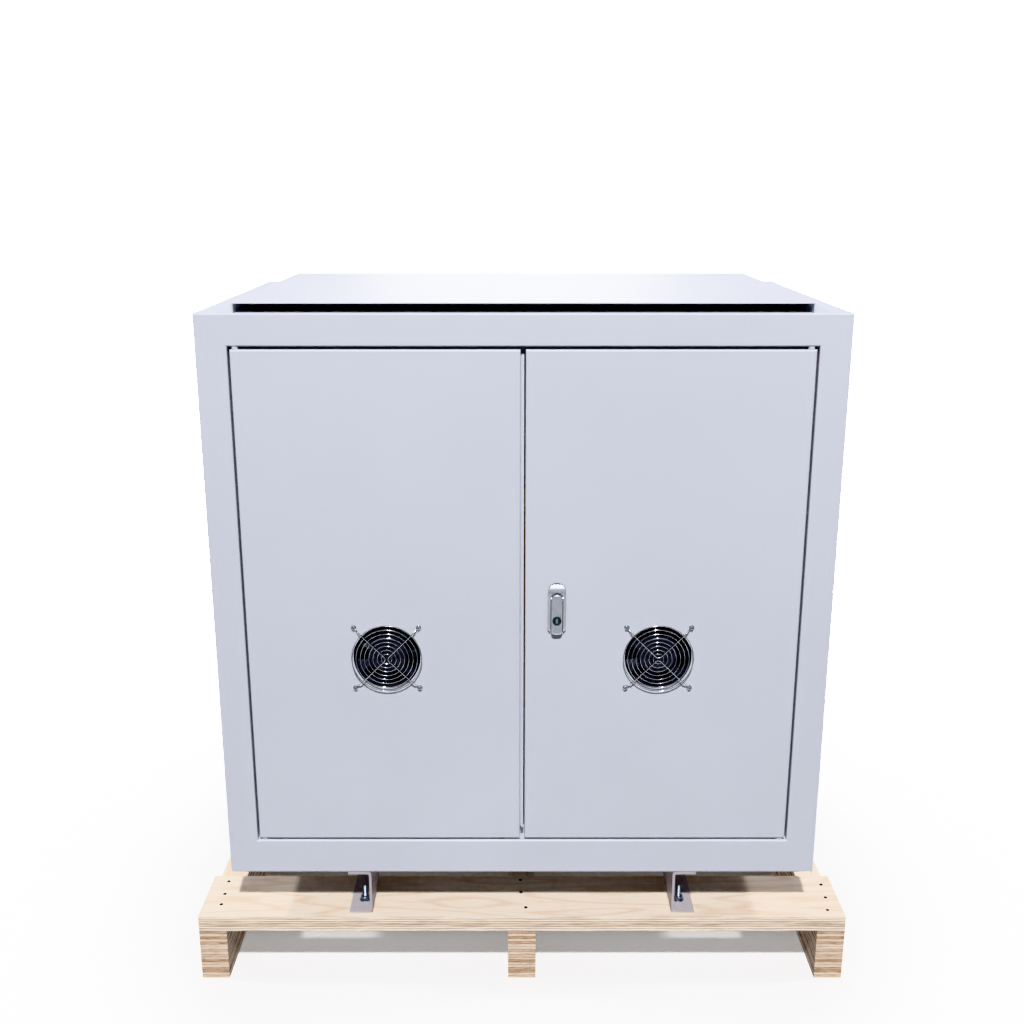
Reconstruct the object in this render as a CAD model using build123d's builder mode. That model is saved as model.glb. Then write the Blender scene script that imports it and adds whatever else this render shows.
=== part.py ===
"""Dry power transformer in a fan-cooled steel enclosure, bolted to its pallet.

Millimetres. +Z is up, the doors face -Y, and the origin is on the floor under the middle of the pallet.
The enclosure is folded sheet: a front frame with two inset leaves on corner pins, plain sides and back, and
a flat roof cover raised on two upright side strips so that warm air leaves at the front and the back.
"""

import os
from build123d import *

os.makedirs("parts", exist_ok=True)

# Pallet
pallet_width = 1120.0
pallet_overhang = 12.0
bearer_width = 48.0
bearer_height = 94.0
deck_thickness = 28.0
deck_board_width = 126.0

# Foot channels, with their open sides outward
foot_height = 80.0
foot_flange = 40.0
foot_wall = 4.5
foot_bend = 7.0
foot_web_offset = 259.0

# Foot bolts, pushed up through the deck with their nuts on the lower flanges
bolt_diameter = 8.0
bolt_clearance = 0.5
bolt_web_distance = 12.2
bolt_end_distance = 34.0
bolt_projection = 21.0
bolt_head_diameter = 20.0
bolt_head_height = 5.0
nut_across_flats = 14.0
nut_height = 6.5
washer_diameter = 19.0
washer_thickness = 1.6

# Cabinet of folded sheet
cabinet_width = 1000.0
cabinet_depth = 600.0
cabinet_height = 953.0
sheet = 2.0
bend = 2.5
stile_width = 49.5
top_rail_height = 50.0
bottom_rail_height = 61.5
frame_depth = 28.0
stop_lip = 15.0
back_return = 25.0
side_top_flange = 66.0
side_bottom_flange = 40.0
floor_sheet = 3.0
floor_clearance = 1.0

# Roof cover
roof_sheet = 2.0
roof_gap = 14.0
roof_side_inset = 59.0
roof_end_inset = 3.0
spacer_thickness = 3.0

# Doors
side_gap = 3.5
head_gap = 5.0
sill_gap = 4.0
centre_gap = 7.6
door_depth = 20.0
strip_width = 5.4
strip_setback = 7.0
strip_thickness = 9.0
strip_groove_width = 1.7
strip_groove_depth = 7.0
strip_head_distance = 8.0
strip_sill_distance = 17.0

# Hinge pins at the leaves' outer corners
hinge_inset = 8.0
hinge_setback = 6.0
pin_diameter = 6.0
pin_clearance = 0.05
pin_reach = 10.0
pin_collar_diameter = 10.0
pin_collar_clearance = 0.3

# Fans
fan_offset = 221.0
fan_rise = 396.0
fan_size = 120.0
fan_depth = 38.0
fan_corner = 5.0
fan_flange = 4.0
fan_barrel = 119.0
fan_bore = 114.0
fan_screw_pitch = 105.0
fan_screw_hole = 4.5
fan_opening = 109.0
motor_diameter = 58.0
motor_base = 5.0
strut_width = 7.0
strut_count = 4
fan_shaft = 6.0
shaft_clearance = 0.05
hub_diameter = 62.0
hub_depth = 24.0
hub_setback = 6.0
hub_edge = 4.0
blade_count = 7
blade_chord = 24.0
blade_thickness = 2.0
blade_tip_gap = 3.0
blade_root_angle = 52.0
blade_tip_angle = 30.0
blade_sink = 4.0

# Wire guards
guard_ring_count = 8
guard_first_radius = 8.5
guard_ring_pitch = 6.9
guard_ring_wire = 1.5
guard_bar_wire = 1.9
guard_standoff = 5.0
guard_bar_bend = 6.0
guard_bar_shoulder = 61.0
eye_bore = 4.6
eye_diameter = 9.0
eye_thickness = 2.2

# Flush lock
lock_offset = 55.0
lock_rise = 483.5
lock_length = 82.0
lock_width = 29.0
lock_plate = 6.0
lock_edge = 2.5
lock_foot_corner = 6.5
lock_brow = 7.5
lock_brow_rise = 1.5
lock_brow_lip = 1.4
lock_brow_round = 1.0
lock_body_length = 64.0
lock_body_width = 24.0
lock_body_depth = 20.0
lock_cutout_clearance = 0.5
lever_length = 68.5
lever_width = 19.4
lever_foot_corner = 6.0
lever_thickness = 7.0
lever_edge = 2.2
lever_overhang = 3.5
lever_side_clearance = 0.6
lever_head_clearance = 1.8
lever_back_clearance = 0.4
lever_pivot_distance = 7.0
lever_pivot_depth = 5.0
lever_pin = 3.0
recess_floor = 2.0
heel_pocket_depth = 7.0
heel_pocket_length = 18.0
key_cylinder_diameter = 14.5
key_cylinder_drop = 20.3
key_cylinder_seat = 4.0
key_cylinder_proud = 0.6
key_slot_length = 7.0
key_slot_width = 1.4
key_slot_depth = 2.0

# Core and coils
core_setback = 20.0
limb_pitch = 250.0
limb_width = 110.0
core_stack = 130.0
window_height = 420.0
coil_height = 372.0
coil_width = 232.0
coil_depth = 256.0
coil_corner = 88.0
coil_limb_clearance = 2.0
sleeve_wall = 9.0
sleeve_height = 412.0
coil_groove_depth = 3.0
coil_groove_height = 8.0
coil_section_count = 4
clamp_height = 80.0
clamp_flange = 42.0
clamp_wall = 5.0
clamp_length = 690.0
core_bearer_height = 80.0
core_bearer_flange = 45.0
core_bearer_wall = 6.0
core_bearer_length = 340.0
tie_rod_diameter = 12.0
tie_rod_clearance = 0.5
tie_nut_across_flats = 18.0
tie_nut_height = 10.0
coil_block_width = 34.0
coil_block_depth = 24.0

# Levels and planes that follow from the sizes above
deck_top = bearer_height + deck_thickness
cabinet_base = deck_top + foot_height
cabinet_top = cabinet_base + cabinet_height
pallet_depth = cabinet_depth + 2 * pallet_overhang
opening_width = cabinet_width - 2 * stile_width
opening_bottom = cabinet_base + bottom_rail_height
opening_top = cabinet_top - top_rail_height
opening_height = opening_top - opening_bottom
opening_middle = (opening_top + opening_bottom) / 2
door_width = opening_width / 2 - side_gap - centre_gap / 2
door_bottom = opening_bottom + sill_gap
door_top = opening_top - head_gap
door_height = door_top - door_bottom
door_middle = (door_top + door_bottom) / 2
door_centre_offset = (centre_gap + door_width) / 2
hinge_x = opening_width / 2 - side_gap - hinge_inset
hinge_y = -cabinet_depth / 2 + hinge_setback
front_plane = Plane.XZ.offset(cabinet_depth / 2)
back_plane = Plane.XZ.offset(-cabinet_depth / 2)
fan_z = cabinet_base + fan_rise
lock_z = cabinet_base + lock_rise


def write(piece, name):
    """Labels a finished piece and writes it under its own name."""
    piece.part.label = name
    export_step(piece.part, f"parts/{name}.step")


# Pallet bearers run front to back, their ends flush with the deck's
for name, place in (("left", -1), ("middle", 0), ("right", 1)):
    with BuildPart() as bearer:
        with BuildSketch():
            with Locations((place * (pallet_width - bearer_width) / 2, 0)):
                Rectangle(bearer_width, pallet_depth)
        extrude(amount=bearer_height)
    write(bearer, f"pallet_{name}_bearer")

# Places of the four foot bolts, shared by the deck, the channels and the bolts
bolt_x = foot_web_offset + foot_wall + bolt_web_distance
bolt_y = cabinet_depth / 2 - bolt_end_distance
bolt_places = GridLocations(2 * bolt_x, 2 * bolt_y, 2, 2)
bolt_hole_radius = bolt_diameter / 2 + bolt_clearance

# Deck boards lie across the bearers, the outer two drilled for the foot bolts
for name, place in (("front", -1), ("middle", 0), ("rear", 1)):
    with BuildPart() as board:
        with BuildSketch(Plane.XY.offset(bearer_height)):
            with Locations((0, place * (pallet_depth - deck_board_width) / 2)):
                Rectangle(pallet_width, deck_board_width)
            with bolt_places:
                Circle(bolt_hole_radius, mode=Mode.SUBTRACT)
        extrude(amount=deck_thickness)
    write(board, f"pallet_{name}_board")

# Feet: bent channels under the cabinet, flush with its front and back
for name, side in (("left", -1), ("right", 1)):
    with BuildPart() as foot:
        with BuildSketch(front_plane) as section:
            with Locations((side * (foot_web_offset + foot_flange / 2), deck_top + foot_height / 2)):
                Rectangle(foot_flange, foot_height)
            fillet(section.vertices().group_by(Axis.X)[0 if side > 0 else -1], foot_bend)
            with Locations((side * (foot_web_offset + foot_wall + foot_flange / 2), deck_top + foot_height / 2)):
                RectangleRounded(
                    foot_flange, foot_height - 2 * foot_wall, foot_bend - foot_wall, mode=Mode.SUBTRACT
                )
        extrude(amount=-cabinet_depth)
        with BuildSketch(Plane.XY.offset(deck_top)):
            with bolt_places:
                Circle(bolt_hole_radius)
        extrude(amount=foot_wall, mode=Mode.SUBTRACT)
    write(foot, f"{name}_foot_channel")

# Foot bolts, each one piece with its washer and nut as tightened
with BuildPart() as foot_bolts:
    with BuildSketch(Plane.XY.offset(bearer_height - bolt_head_height)):
        with bolt_places:
            Circle(bolt_head_diameter / 2)
    extrude(amount=bolt_head_height)
    with BuildSketch(Plane.XY.offset(bearer_height)):
        with bolt_places:
            Circle(bolt_diameter / 2)
    extrude(amount=deck_thickness + foot_wall + washer_thickness + nut_height + bolt_projection)
    with BuildSketch(Plane.XY.offset(deck_top + foot_wall)):
        with bolt_places:
            Circle(washer_diameter / 2)
    extrude(amount=washer_thickness)
    with BuildSketch(Plane.XY.offset(deck_top + foot_wall + washer_thickness)):
        with bolt_places:
            RegularPolygon(nut_across_flats / 2, 6, major_radius=False)
    extrude(amount=nut_height)
write(foot_bolts, "foot_bolts")

# Front frame: one folded picture frame with a stop lip behind the leaves, drilled for the hinge pins
with BuildPart() as front_frame:
    with BuildSketch(front_plane):
        with Locations((0, (cabinet_base + cabinet_top) / 2)):
            Rectangle(cabinet_width, cabinet_height)
        with Locations((0, opening_middle)):
            Rectangle(opening_width, opening_height, mode=Mode.SUBTRACT)
    extrude(amount=-frame_depth)
    fillet(front_frame.faces().sort_by(Axis.Y)[0].edges(), bend)
    with BuildSketch(front_plane.offset(-sheet)):
        with Locations((0, (cabinet_base + cabinet_top) / 2)):
            Rectangle(cabinet_width - 2 * sheet, cabinet_height - 2 * sheet)
        with Locations((0, opening_middle)):
            Rectangle(opening_width + 2 * sheet, opening_height + 2 * sheet, mode=Mode.SUBTRACT)
    extrude(amount=sheet - frame_depth, mode=Mode.SUBTRACT)
    with BuildSketch(front_plane.offset(-frame_depth)):
        with Locations((0, opening_middle)):
            Rectangle(opening_width, opening_height)
            Rectangle(opening_width - 2 * stop_lip, opening_height - 2 * stop_lip, mode=Mode.SUBTRACT)
    extrude(amount=sheet)
    with BuildSketch(Plane.XY.offset(cabinet_base + sheet)):
        with Locations((-hinge_x, hinge_y), (hinge_x, hinge_y)):
            Circle(pin_diameter / 2 + pin_clearance)
    extrude(amount=cabinet_height - 2 * sheet, mode=Mode.SUBTRACT)

# The frame is welded up from two stiles and two rails, butted where the stop lip ends
weld_x = opening_width / 2 - stop_lip
left_weld = Plane.YZ.offset(-weld_x)
right_weld = Plane.YZ.offset(weld_x)
middle_level = Plane.XY.offset(opening_middle)
frame_members = {
    "front_left_stile": ((left_weld, Keep.BOTTOM),),
    "front_right_stile": ((right_weld, Keep.TOP),),
    "front_top_rail": ((left_weld, Keep.TOP), (right_weld, Keep.BOTTOM), (middle_level, Keep.TOP)),
    "front_bottom_rail": ((left_weld, Keep.TOP), (right_weld, Keep.BOTTOM), (middle_level, Keep.BOTTOM)),
}
for name, cuts in frame_members.items():
    with BuildPart() as member:
        add(front_frame.part)
        for plane, kept in cuts:
            split(bisect_by=plane, keep=kept)
    write(member, name)

# Side panels: one sheet each, folded in at the top to carry the roof and at the bottom to carry the floor
side_length = cabinet_depth - frame_depth - back_return
for name, side in (("left", -1), ("right", 1)):
    outward = Align.MIN if side < 0 else Align.MAX
    with BuildPart() as side_panel:
        with BuildSketch(front_plane.offset(-frame_depth)):
            with Locations((side * cabinet_width / 2, cabinet_base)):
                Rectangle(sheet, cabinet_height, align=(outward, Align.MIN))
                Rectangle(side_bottom_flange, sheet, align=(outward, Align.MIN))
            with Locations((side * cabinet_width / 2, cabinet_top)):
                Rectangle(side_top_flange, sheet, align=(outward, Align.MAX))
        extrude(amount=-side_length)
        outer_face = side_panel.faces().sort_by(Axis.X)[0 if side < 0 else -1]
        fillet(outer_face.edges().filter_by(Axis.Y), bend)
    write(side_panel, f"{name}_side_panel")

# Back panel: a tray folded forward on all four edges
with BuildPart() as back_panel:
    with BuildSketch(back_plane):
        with Locations((0, (cabinet_base + cabinet_top) / 2)):
            Rectangle(cabinet_width, cabinet_height)
    extrude(amount=back_return)
    fillet(back_panel.faces().sort_by(Axis.Y)[-1].edges(), bend)
    with BuildSketch(back_plane.offset(sheet)):
        with Locations((0, (cabinet_base + cabinet_top) / 2)):
            Rectangle(cabinet_width - 2 * sheet, cabinet_height - 2 * sheet)
    extrude(amount=back_return - sheet, mode=Mode.SUBTRACT)
write(back_panel, "back_panel")

# Floor plate, laid on the bottom flanges
floor_inset = sheet + floor_clearance
floor_top = cabinet_base + sheet + floor_sheet
with BuildPart() as floor_plate:
    with BuildSketch(Plane.XY.offset(cabinet_base + sheet)):
        Rectangle(cabinet_width - 2 * floor_inset, cabinet_depth - 2 * floor_inset)
    extrude(amount=floor_sheet)
write(floor_plate, "floor_plate")

# Roof cover: a flat sheet raised clear of the cabinet, open below at the front and the back
roof_base = cabinet_top + roof_gap
roof_width = cabinet_width - 2 * roof_side_inset
roof_length = cabinet_depth - 2 * roof_end_inset
with BuildPart() as roof_cover:
    with BuildSketch(Plane.XY.offset(roof_base)):
        Rectangle(roof_width, roof_length)
    extrude(amount=roof_sheet)
    fillet(roof_cover.faces().sort_by(Axis.Z)[-1].edges(), roof_sheet / 2)
write(roof_cover, "roof_cover")

# Roof spacers: upright strips along the cover's two sides, standing on the side panels' top flanges
with BuildPart() as roof_spacers:
    with BuildSketch(Plane.XY.offset(cabinet_top)):
        with GridLocations(roof_width - spacer_thickness, 0, 2, 1):
            Rectangle(spacer_thickness, roof_length)
    extrude(amount=roof_gap)
write(roof_spacers, "roof_spacers")

# Hinge pins: fixed in the rails, each with a collar in the gap above or below its leaf
with BuildPart() as hinge_pins:
    for frame_level, gap, inward in ((opening_top, head_gap, -1), (opening_bottom, sill_gap, 1)):
        shaft_start = frame_level - inward * pin_reach
        shaft_length = pin_reach + gap + pin_reach
        with BuildSketch(Plane.XY.offset(shaft_start)):
            with Locations((-hinge_x, hinge_y), (hinge_x, hinge_y)):
                Circle(pin_diameter / 2)
        extrude(amount=inward * shaft_length)
        with BuildSketch(Plane.XY.offset(frame_level)):
            with Locations((-hinge_x, hinge_y), (hinge_x, hinge_y)):
                Circle(pin_collar_diameter / 2)
        extrude(amount=inward * (gap - pin_collar_clearance))
write(hinge_pins, "hinge_pins")

# Leaves: shallow trays with a fan opening, hinge holes, and on the right one the lock's cut-out
for name, side in (("left", -1), ("right", 1)):
    with BuildPart() as leaf:
        with BuildSketch(front_plane):
            with Locations((side * door_centre_offset, door_middle)):
                Rectangle(door_width, door_height)
        extrude(amount=-door_depth)
        fillet(leaf.faces().sort_by(Axis.Y)[0].edges(), bend)
        with BuildSketch(front_plane.offset(-sheet)):
            with Locations((side * door_centre_offset, door_middle)):
                Rectangle(door_width - 2 * sheet, door_height - 2 * sheet)
        extrude(amount=sheet - door_depth, mode=Mode.SUBTRACT)
        with BuildSketch(front_plane):
            with Locations((side * fan_offset, fan_z)):
                Circle(fan_opening / 2)
                with GridLocations(fan_screw_pitch, fan_screw_pitch, 2, 2):
                    Circle(fan_screw_hole / 2)
            if side > 0:
                with Locations((lock_offset, lock_z)):
                    Rectangle(
                        lock_body_width + 2 * lock_cutout_clearance,
                        lock_body_length + 2 * lock_cutout_clearance,
                    )
        extrude(amount=-sheet, mode=Mode.SUBTRACT)
        with BuildSketch(Plane.XY.offset(door_bottom)):
            with Locations((side * hinge_x, hinge_y)):
                Circle(pin_diameter / 2 + pin_clearance)
        extrude(amount=door_height, mode=Mode.SUBTRACT)
    write(leaf, f"{name}_door")

# Meeting strip on the left leaf's free edge, set back between the leaves and grooved along the leaf
strip_height = door_height - strip_sill_distance - strip_head_distance
with BuildPart() as meeting_strip:
    with BuildSketch(front_plane.offset(-strip_setback)):
        with Locations((-centre_gap / 2, door_bottom + strip_sill_distance)):
            Rectangle(strip_width, strip_height, align=(Align.MIN, Align.MIN))
    extrude(amount=-strip_thickness)
    with BuildSketch(front_plane.offset(-strip_setback)):
        with Locations((-centre_gap / 2, door_bottom + strip_sill_distance)):
            Rectangle(strip_groove_width, strip_height, align=(Align.MIN, Align.MIN))
    extrude(amount=-strip_groove_depth, mode=Mode.SUBTRACT)
write(meeting_strip, "left_door_meeting_strip")


def fan_plane(side):
    """Plane on a leaf's face at its fan's centre, facing out of the cabinet."""
    return Plane((side * fan_offset, -cabinet_depth / 2, fan_z), x_dir=(1, 0, 0), z_dir=(0, -1, 0))


def turned(plane, angle):
    """The same plane turned in itself about its own origin."""
    normal = Axis((0, 0, 0), plane.z_dir)
    return Plane(plane.origin, x_dir=plane.x_dir.rotate(normal, angle), z_dir=plane.z_dir)


# Wire guards: concentric rings under two bent bars that end in screw eyes, one guard turned a quarter
eye_centre = fan_screw_pitch / 2
eye_ring_radius = (eye_diameter + eye_bore) / 4
bar_end = eye_centre - eye_ring_radius / 2**0.5
bar_shoulder = guard_bar_shoulder / 2**0.5
bar_height = guard_standoff + (guard_ring_wire + guard_bar_wire) / 2 - guard_ring_wire / 4
for name, side, quarter_turn in (("left", -1, 0), ("right", 1, 90)):
    face = turned(fan_plane(side), quarter_turn)
    with BuildPart() as guard:
        with BuildSketch(Plane(face.origin, x_dir=face.x_dir, z_dir=face.y_dir)):
            for ring in range(guard_ring_count):
                with Locations((guard_first_radius + ring * guard_ring_pitch, -guard_standoff)):
                    RegularPolygon(guard_ring_wire / 2, 4)
        revolve(axis=Axis(face.origin, face.z_dir))
        for half in (-1, 1):
            with BuildLine(face) as bar:
                FilletPolyline(
                    (half * bar_end, bar_end, eye_thickness / 2),
                    (half * bar_shoulder, bar_shoulder, bar_height),
                    (0, 0, bar_height),
                    (half * bar_shoulder, -bar_shoulder, bar_height),
                    (half * bar_end, -bar_end, eye_thickness / 2),
                    radius=guard_bar_bend,
                )
            with BuildSketch(Plane(bar.line @ 0, z_dir=bar.line % 0)):
                RegularPolygon(guard_bar_wire / 2, 6)
            sweep(transition=Transition.RIGHT)
        with BuildSketch(face):
            with GridLocations(fan_screw_pitch, fan_screw_pitch, 2, 2):
                Circle(eye_diameter / 2)
                Circle(eye_bore / 2, mode=Mode.SUBTRACT)
        extrude(amount=eye_thickness)
    write(guard, f"{name}_fan_guard")

# Fan housings: two square flanges on a barrel, with the motor's seat on struts at the inner end
for name, side in (("left", -1), ("right", 1)):
    seat = fan_plane(side).offset(-sheet)
    inner_end = seat.offset(-fan_depth)
    with BuildPart() as housing:
        with BuildSketch(seat, inner_end.offset(fan_flange)):
            RectangleRounded(fan_size, fan_size, fan_corner)
            with GridLocations(fan_screw_pitch, fan_screw_pitch, 2, 2):
                Circle(fan_screw_hole / 2, mode=Mode.SUBTRACT)
        extrude(amount=-fan_flange)
        with BuildSketch(seat):
            Circle(fan_barrel / 2)
        extrude(amount=-fan_depth)
        with BuildSketch(seat):
            Circle(fan_bore / 2)
        extrude(amount=-fan_depth, mode=Mode.SUBTRACT)
        with BuildSketch(inner_end):
            Circle(motor_diameter / 2)
            with PolarLocations(0, strut_count, start_angle=180 / strut_count):
                Rectangle((fan_bore + fan_barrel) / 4, strut_width, align=(Align.MIN, Align.CENTER))
        extrude(amount=motor_base)
        with BuildSketch(inner_end):
            Circle(fan_shaft / 2)
        extrude(amount=fan_depth - hub_setback - hub_edge)
    write(housing, f"{name}_fan_housing")

# Impellers: a cup hub on the motor's shaft with twisted blades
blade_tip_radius = fan_bore / 2 - blade_tip_gap
blade_tip_station = (blade_tip_radius**2 - (blade_chord / 2) ** 2) ** 0.5
blade_root_station = hub_diameter / 2 - blade_sink
for name, side in (("left", -1), ("right", 1)):
    hub_face = fan_plane(side).offset(-sheet - hub_setback)
    hub_middle = hub_face.offset(-hub_depth / 2)
    with BuildPart() as impeller:
        with BuildSketch(hub_face):
            Circle(hub_diameter / 2)
        extrude(amount=-hub_depth)
        fillet(impeller.edges().sort_by(Axis.Y)[0], hub_edge)
        for blade in range(blade_count):
            spoke = turned(hub_middle, 360 * blade / blade_count)
            for station, angle in ((blade_root_station, blade_root_angle), (blade_tip_station, blade_tip_angle)):
                station_origin = spoke.origin + spoke.x_dir * station
                with BuildSketch(Plane(station_origin, x_dir=spoke.y_dir, z_dir=spoke.x_dir)):
                    SlotOverall(blade_chord, blade_thickness, rotation=angle)
            loft()
        with BuildSketch(hub_face.offset(-hub_depth)):
            Circle(fan_shaft / 2 + shaft_clearance)
        extrude(amount=hub_depth - hub_edge, mode=Mode.SUBTRACT)
    write(impeller, f"{name}_fan_impeller")

# Flush lock: an escutcheon with a rounded brow, a body behind the leaf, a recess, and the lever's pin
lock_face = Plane((lock_offset, -cabinet_depth / 2, lock_z), x_dir=(1, 0, 0), z_dir=(0, -1, 0))
lever_foot = -lock_length / 2 - lever_overhang
lever_head = lever_foot + lever_length
pivot_rise = lever_head - lever_pivot_distance
lever_back = recess_floor + lever_back_clearance
recess_width = lever_width + 2 * lever_side_clearance
recess_head = lever_head + lever_head_clearance
recess_foot = lever_foot - lever_side_clearance
recess_length = recess_head - recess_foot
recess_middle = (recess_head + recess_foot) / 2
brow_rise = recess_head + lock_brow_rise
brow_foot = lock_z + brow_rise
brow_top = lock_z + lock_length / 2
brow_face = -cabinet_depth / 2 - lock_brow
brow_lip = -cabinet_depth / 2 - lock_brow_lip
pivot_axis_plane = Plane(
    lock_face.origin + lock_face.y_dir * pivot_rise + lock_face.z_dir * lever_pivot_depth,
    x_dir=lock_face.y_dir,
    z_dir=lock_face.x_dir,
)
with BuildPart() as lock_escutcheon:
    with BuildSketch(lock_face) as outline:
        with Locations((0, -lock_length / 2)):
            Rectangle(lock_width, lock_length - lock_width / 2, align=(Align.CENTER, Align.MIN))
        fillet(outline.vertices().group_by(Axis.Y)[0], lock_foot_corner)
        with Locations((0, (lock_length - lock_width) / 2)):
            Circle(lock_width / 2)
    extrude(amount=lock_plate)
    fillet(lock_escutcheon.faces().sort_by(Axis.Y)[0].edges(), lock_edge)
    with BuildSketch(lock_face):
        with Locations((0, (lock_length - lock_width) / 2)):
            Circle(lock_width / 2)
        with Locations((0, brow_rise)):
            Rectangle(lock_width, lock_width, align=(Align.CENTER, Align.MIN), mode=Mode.INTERSECT)
    extrude(amount=lock_brow)
    with BuildSketch(Plane.YZ.offset(lock_offset)):
        with BuildLine():
            brow = TangentArc((brow_face, brow_foot), (brow_lip, brow_top), tangent=(0, 1))
            Polyline(brow @ 1, (brow_face, brow_top), brow @ 0)
        make_face()
    extrude(amount=lock_width, both=True, mode=Mode.SUBTRACT)
    fillet(lock_escutcheon.edges().group_by(Axis.Z)[-1].sort_by(Axis.Y)[0], lock_brow_round)
    with BuildSketch(lock_face):
        Rectangle(lock_body_width, lock_body_length)
    extrude(amount=-lock_body_depth)
    with BuildSketch(lock_face.offset(recess_floor)):
        with Locations((0, recess_head - recess_width / 2)):
            Circle(recess_width / 2)
            Rectangle(recess_width, recess_length - recess_width / 2, align=(Align.CENTER, Align.MAX))
    extrude(amount=lock_plate, mode=Mode.SUBTRACT)
    with BuildSketch(lock_face.offset(recess_floor)):
        with Locations((0, recess_middle)):
            SlotOverall(recess_length, recess_width, rotation=90)
        with Locations((0, recess_head)):
            Rectangle(recess_width, heel_pocket_length, align=(Align.CENTER, Align.MAX), mode=Mode.INTERSECT)
    extrude(amount=-heel_pocket_depth, mode=Mode.SUBTRACT)
    with BuildSketch(pivot_axis_plane):
        Circle(lever_pin / 2)
    extrude(amount=recess_width / 2, both=True)
write(lock_escutcheon, "lock_escutcheon")

key_centre = Plane(
    lock_face.origin - lock_face.y_dir * key_cylinder_drop + lock_face.z_dir * (lever_back + lever_thickness),
    x_dir=lock_face.x_dir,
    z_dir=lock_face.z_dir,
)
with BuildPart() as lock_lever:
    with BuildSketch(lock_face.offset(lever_back)) as lever_outline:
        with Locations((0, lever_foot)):
            Rectangle(lever_width, lever_length - lever_width / 2, align=(Align.CENTER, Align.MIN))
        fillet(lever_outline.vertices().group_by(Axis.Y)[0], lever_foot_corner)
        with Locations((0, lever_head - lever_width / 2)):
            Circle(lever_width / 2)
    extrude(amount=lever_thickness)
    fillet(lock_lever.faces().sort_by(Axis.Y)[0].edges(), lever_edge)
    with BuildSketch(pivot_axis_plane):
        Circle(lever_pin / 2 + pin_clearance)
    extrude(amount=lever_width, both=True, mode=Mode.SUBTRACT)
    with BuildSketch(key_centre):
        Circle(key_cylinder_diameter / 2 + pin_clearance)
    extrude(amount=-key_cylinder_seat, mode=Mode.SUBTRACT)
write(lock_lever, "lock_lever")

with BuildPart() as key_cylinder:
    with BuildSketch(key_centre.offset(-key_cylinder_seat)):
        Circle(key_cylinder_diameter / 2)
    extrude(amount=key_cylinder_seat + key_cylinder_proud)
    with BuildSketch(key_centre.offset(key_cylinder_proud)):
        Rectangle(key_slot_width, key_slot_length)
    extrude(amount=-key_slot_depth, mode=Mode.SUBTRACT)
write(key_cylinder, "key_cylinder")

# Core bearers: channels across the floor over the feet
core_y = core_setback
core_base = floor_top + core_bearer_height
core_middle_plane = Plane.XZ.offset(-core_y)
for name, side in (("left", -1), ("right", 1)):
    with BuildPart() as core_bearer:
        with BuildSketch(core_middle_plane):
            with Locations((side * limb_pitch, floor_top + core_bearer_height / 2)):
                Rectangle(core_bearer_flange, core_bearer_height)
            with Locations((side * (limb_pitch + core_bearer_wall), floor_top + core_bearer_height / 2)):
                Rectangle(
                    core_bearer_flange, core_bearer_height - 2 * core_bearer_wall, mode=Mode.SUBTRACT
                )
        extrude(amount=core_bearer_length / 2, both=True)
    write(core_bearer, f"{name}_core_bearer")

# Core: three limbs between two yokes
core_width = 2 * limb_pitch + limb_width
core_height = window_height + 2 * limb_width
with BuildPart() as core:
    with BuildSketch(core_middle_plane):
        with Locations((0, core_base + core_height / 2)):
            Rectangle(core_width, core_height)
            with GridLocations(limb_pitch, 0, 2, 1):
                Rectangle(limb_pitch - limb_width, window_height, mode=Mode.SUBTRACT)
    extrude(amount=core_stack / 2, both=True)
write(core, "core")

# Coils: wound in sections on a sleeve that stands a little taller
coil_middle = core_base + core_height / 2
coil_bottom = coil_middle - coil_height / 2
sleeve_width = limb_width + 2 * (coil_limb_clearance + sleeve_wall)
sleeve_depth = core_stack + 2 * (coil_limb_clearance + sleeve_wall)
groove_pitch = coil_height / coil_section_count
for name, place in (("left", -1), ("middle", 0), ("right", 1)):
    coil_axis = Plane((place * limb_pitch, core_y, coil_middle))
    with BuildPart() as coil:
        with BuildSketch(coil_axis):
            RectangleRounded(coil_width, coil_depth, coil_corner)
        extrude(amount=coil_height / 2, both=True)
        for groove in range(1, coil_section_count):
            groove_level = groove * groove_pitch - coil_height / 2
            with BuildSketch(coil_axis.offset(groove_level)):
                RectangleRounded(coil_width, coil_depth, coil_corner)
                RectangleRounded(
                    coil_width - 2 * coil_groove_depth,
                    coil_depth - 2 * coil_groove_depth,
                    coil_corner - coil_groove_depth,
                    mode=Mode.SUBTRACT,
                )
            extrude(amount=coil_groove_height / 2, both=True, mode=Mode.SUBTRACT)
        with BuildSketch(coil_axis):
            Rectangle(sleeve_width, sleeve_depth)
        extrude(amount=sleeve_height / 2, both=True)
        with BuildSketch(coil_axis):
            Rectangle(limb_width + 2 * coil_limb_clearance, core_stack + 2 * coil_limb_clearance)
        extrude(amount=sleeve_height, both=True, mode=Mode.SUBTRACT)
    write(coil, f"{name}_coil")

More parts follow.
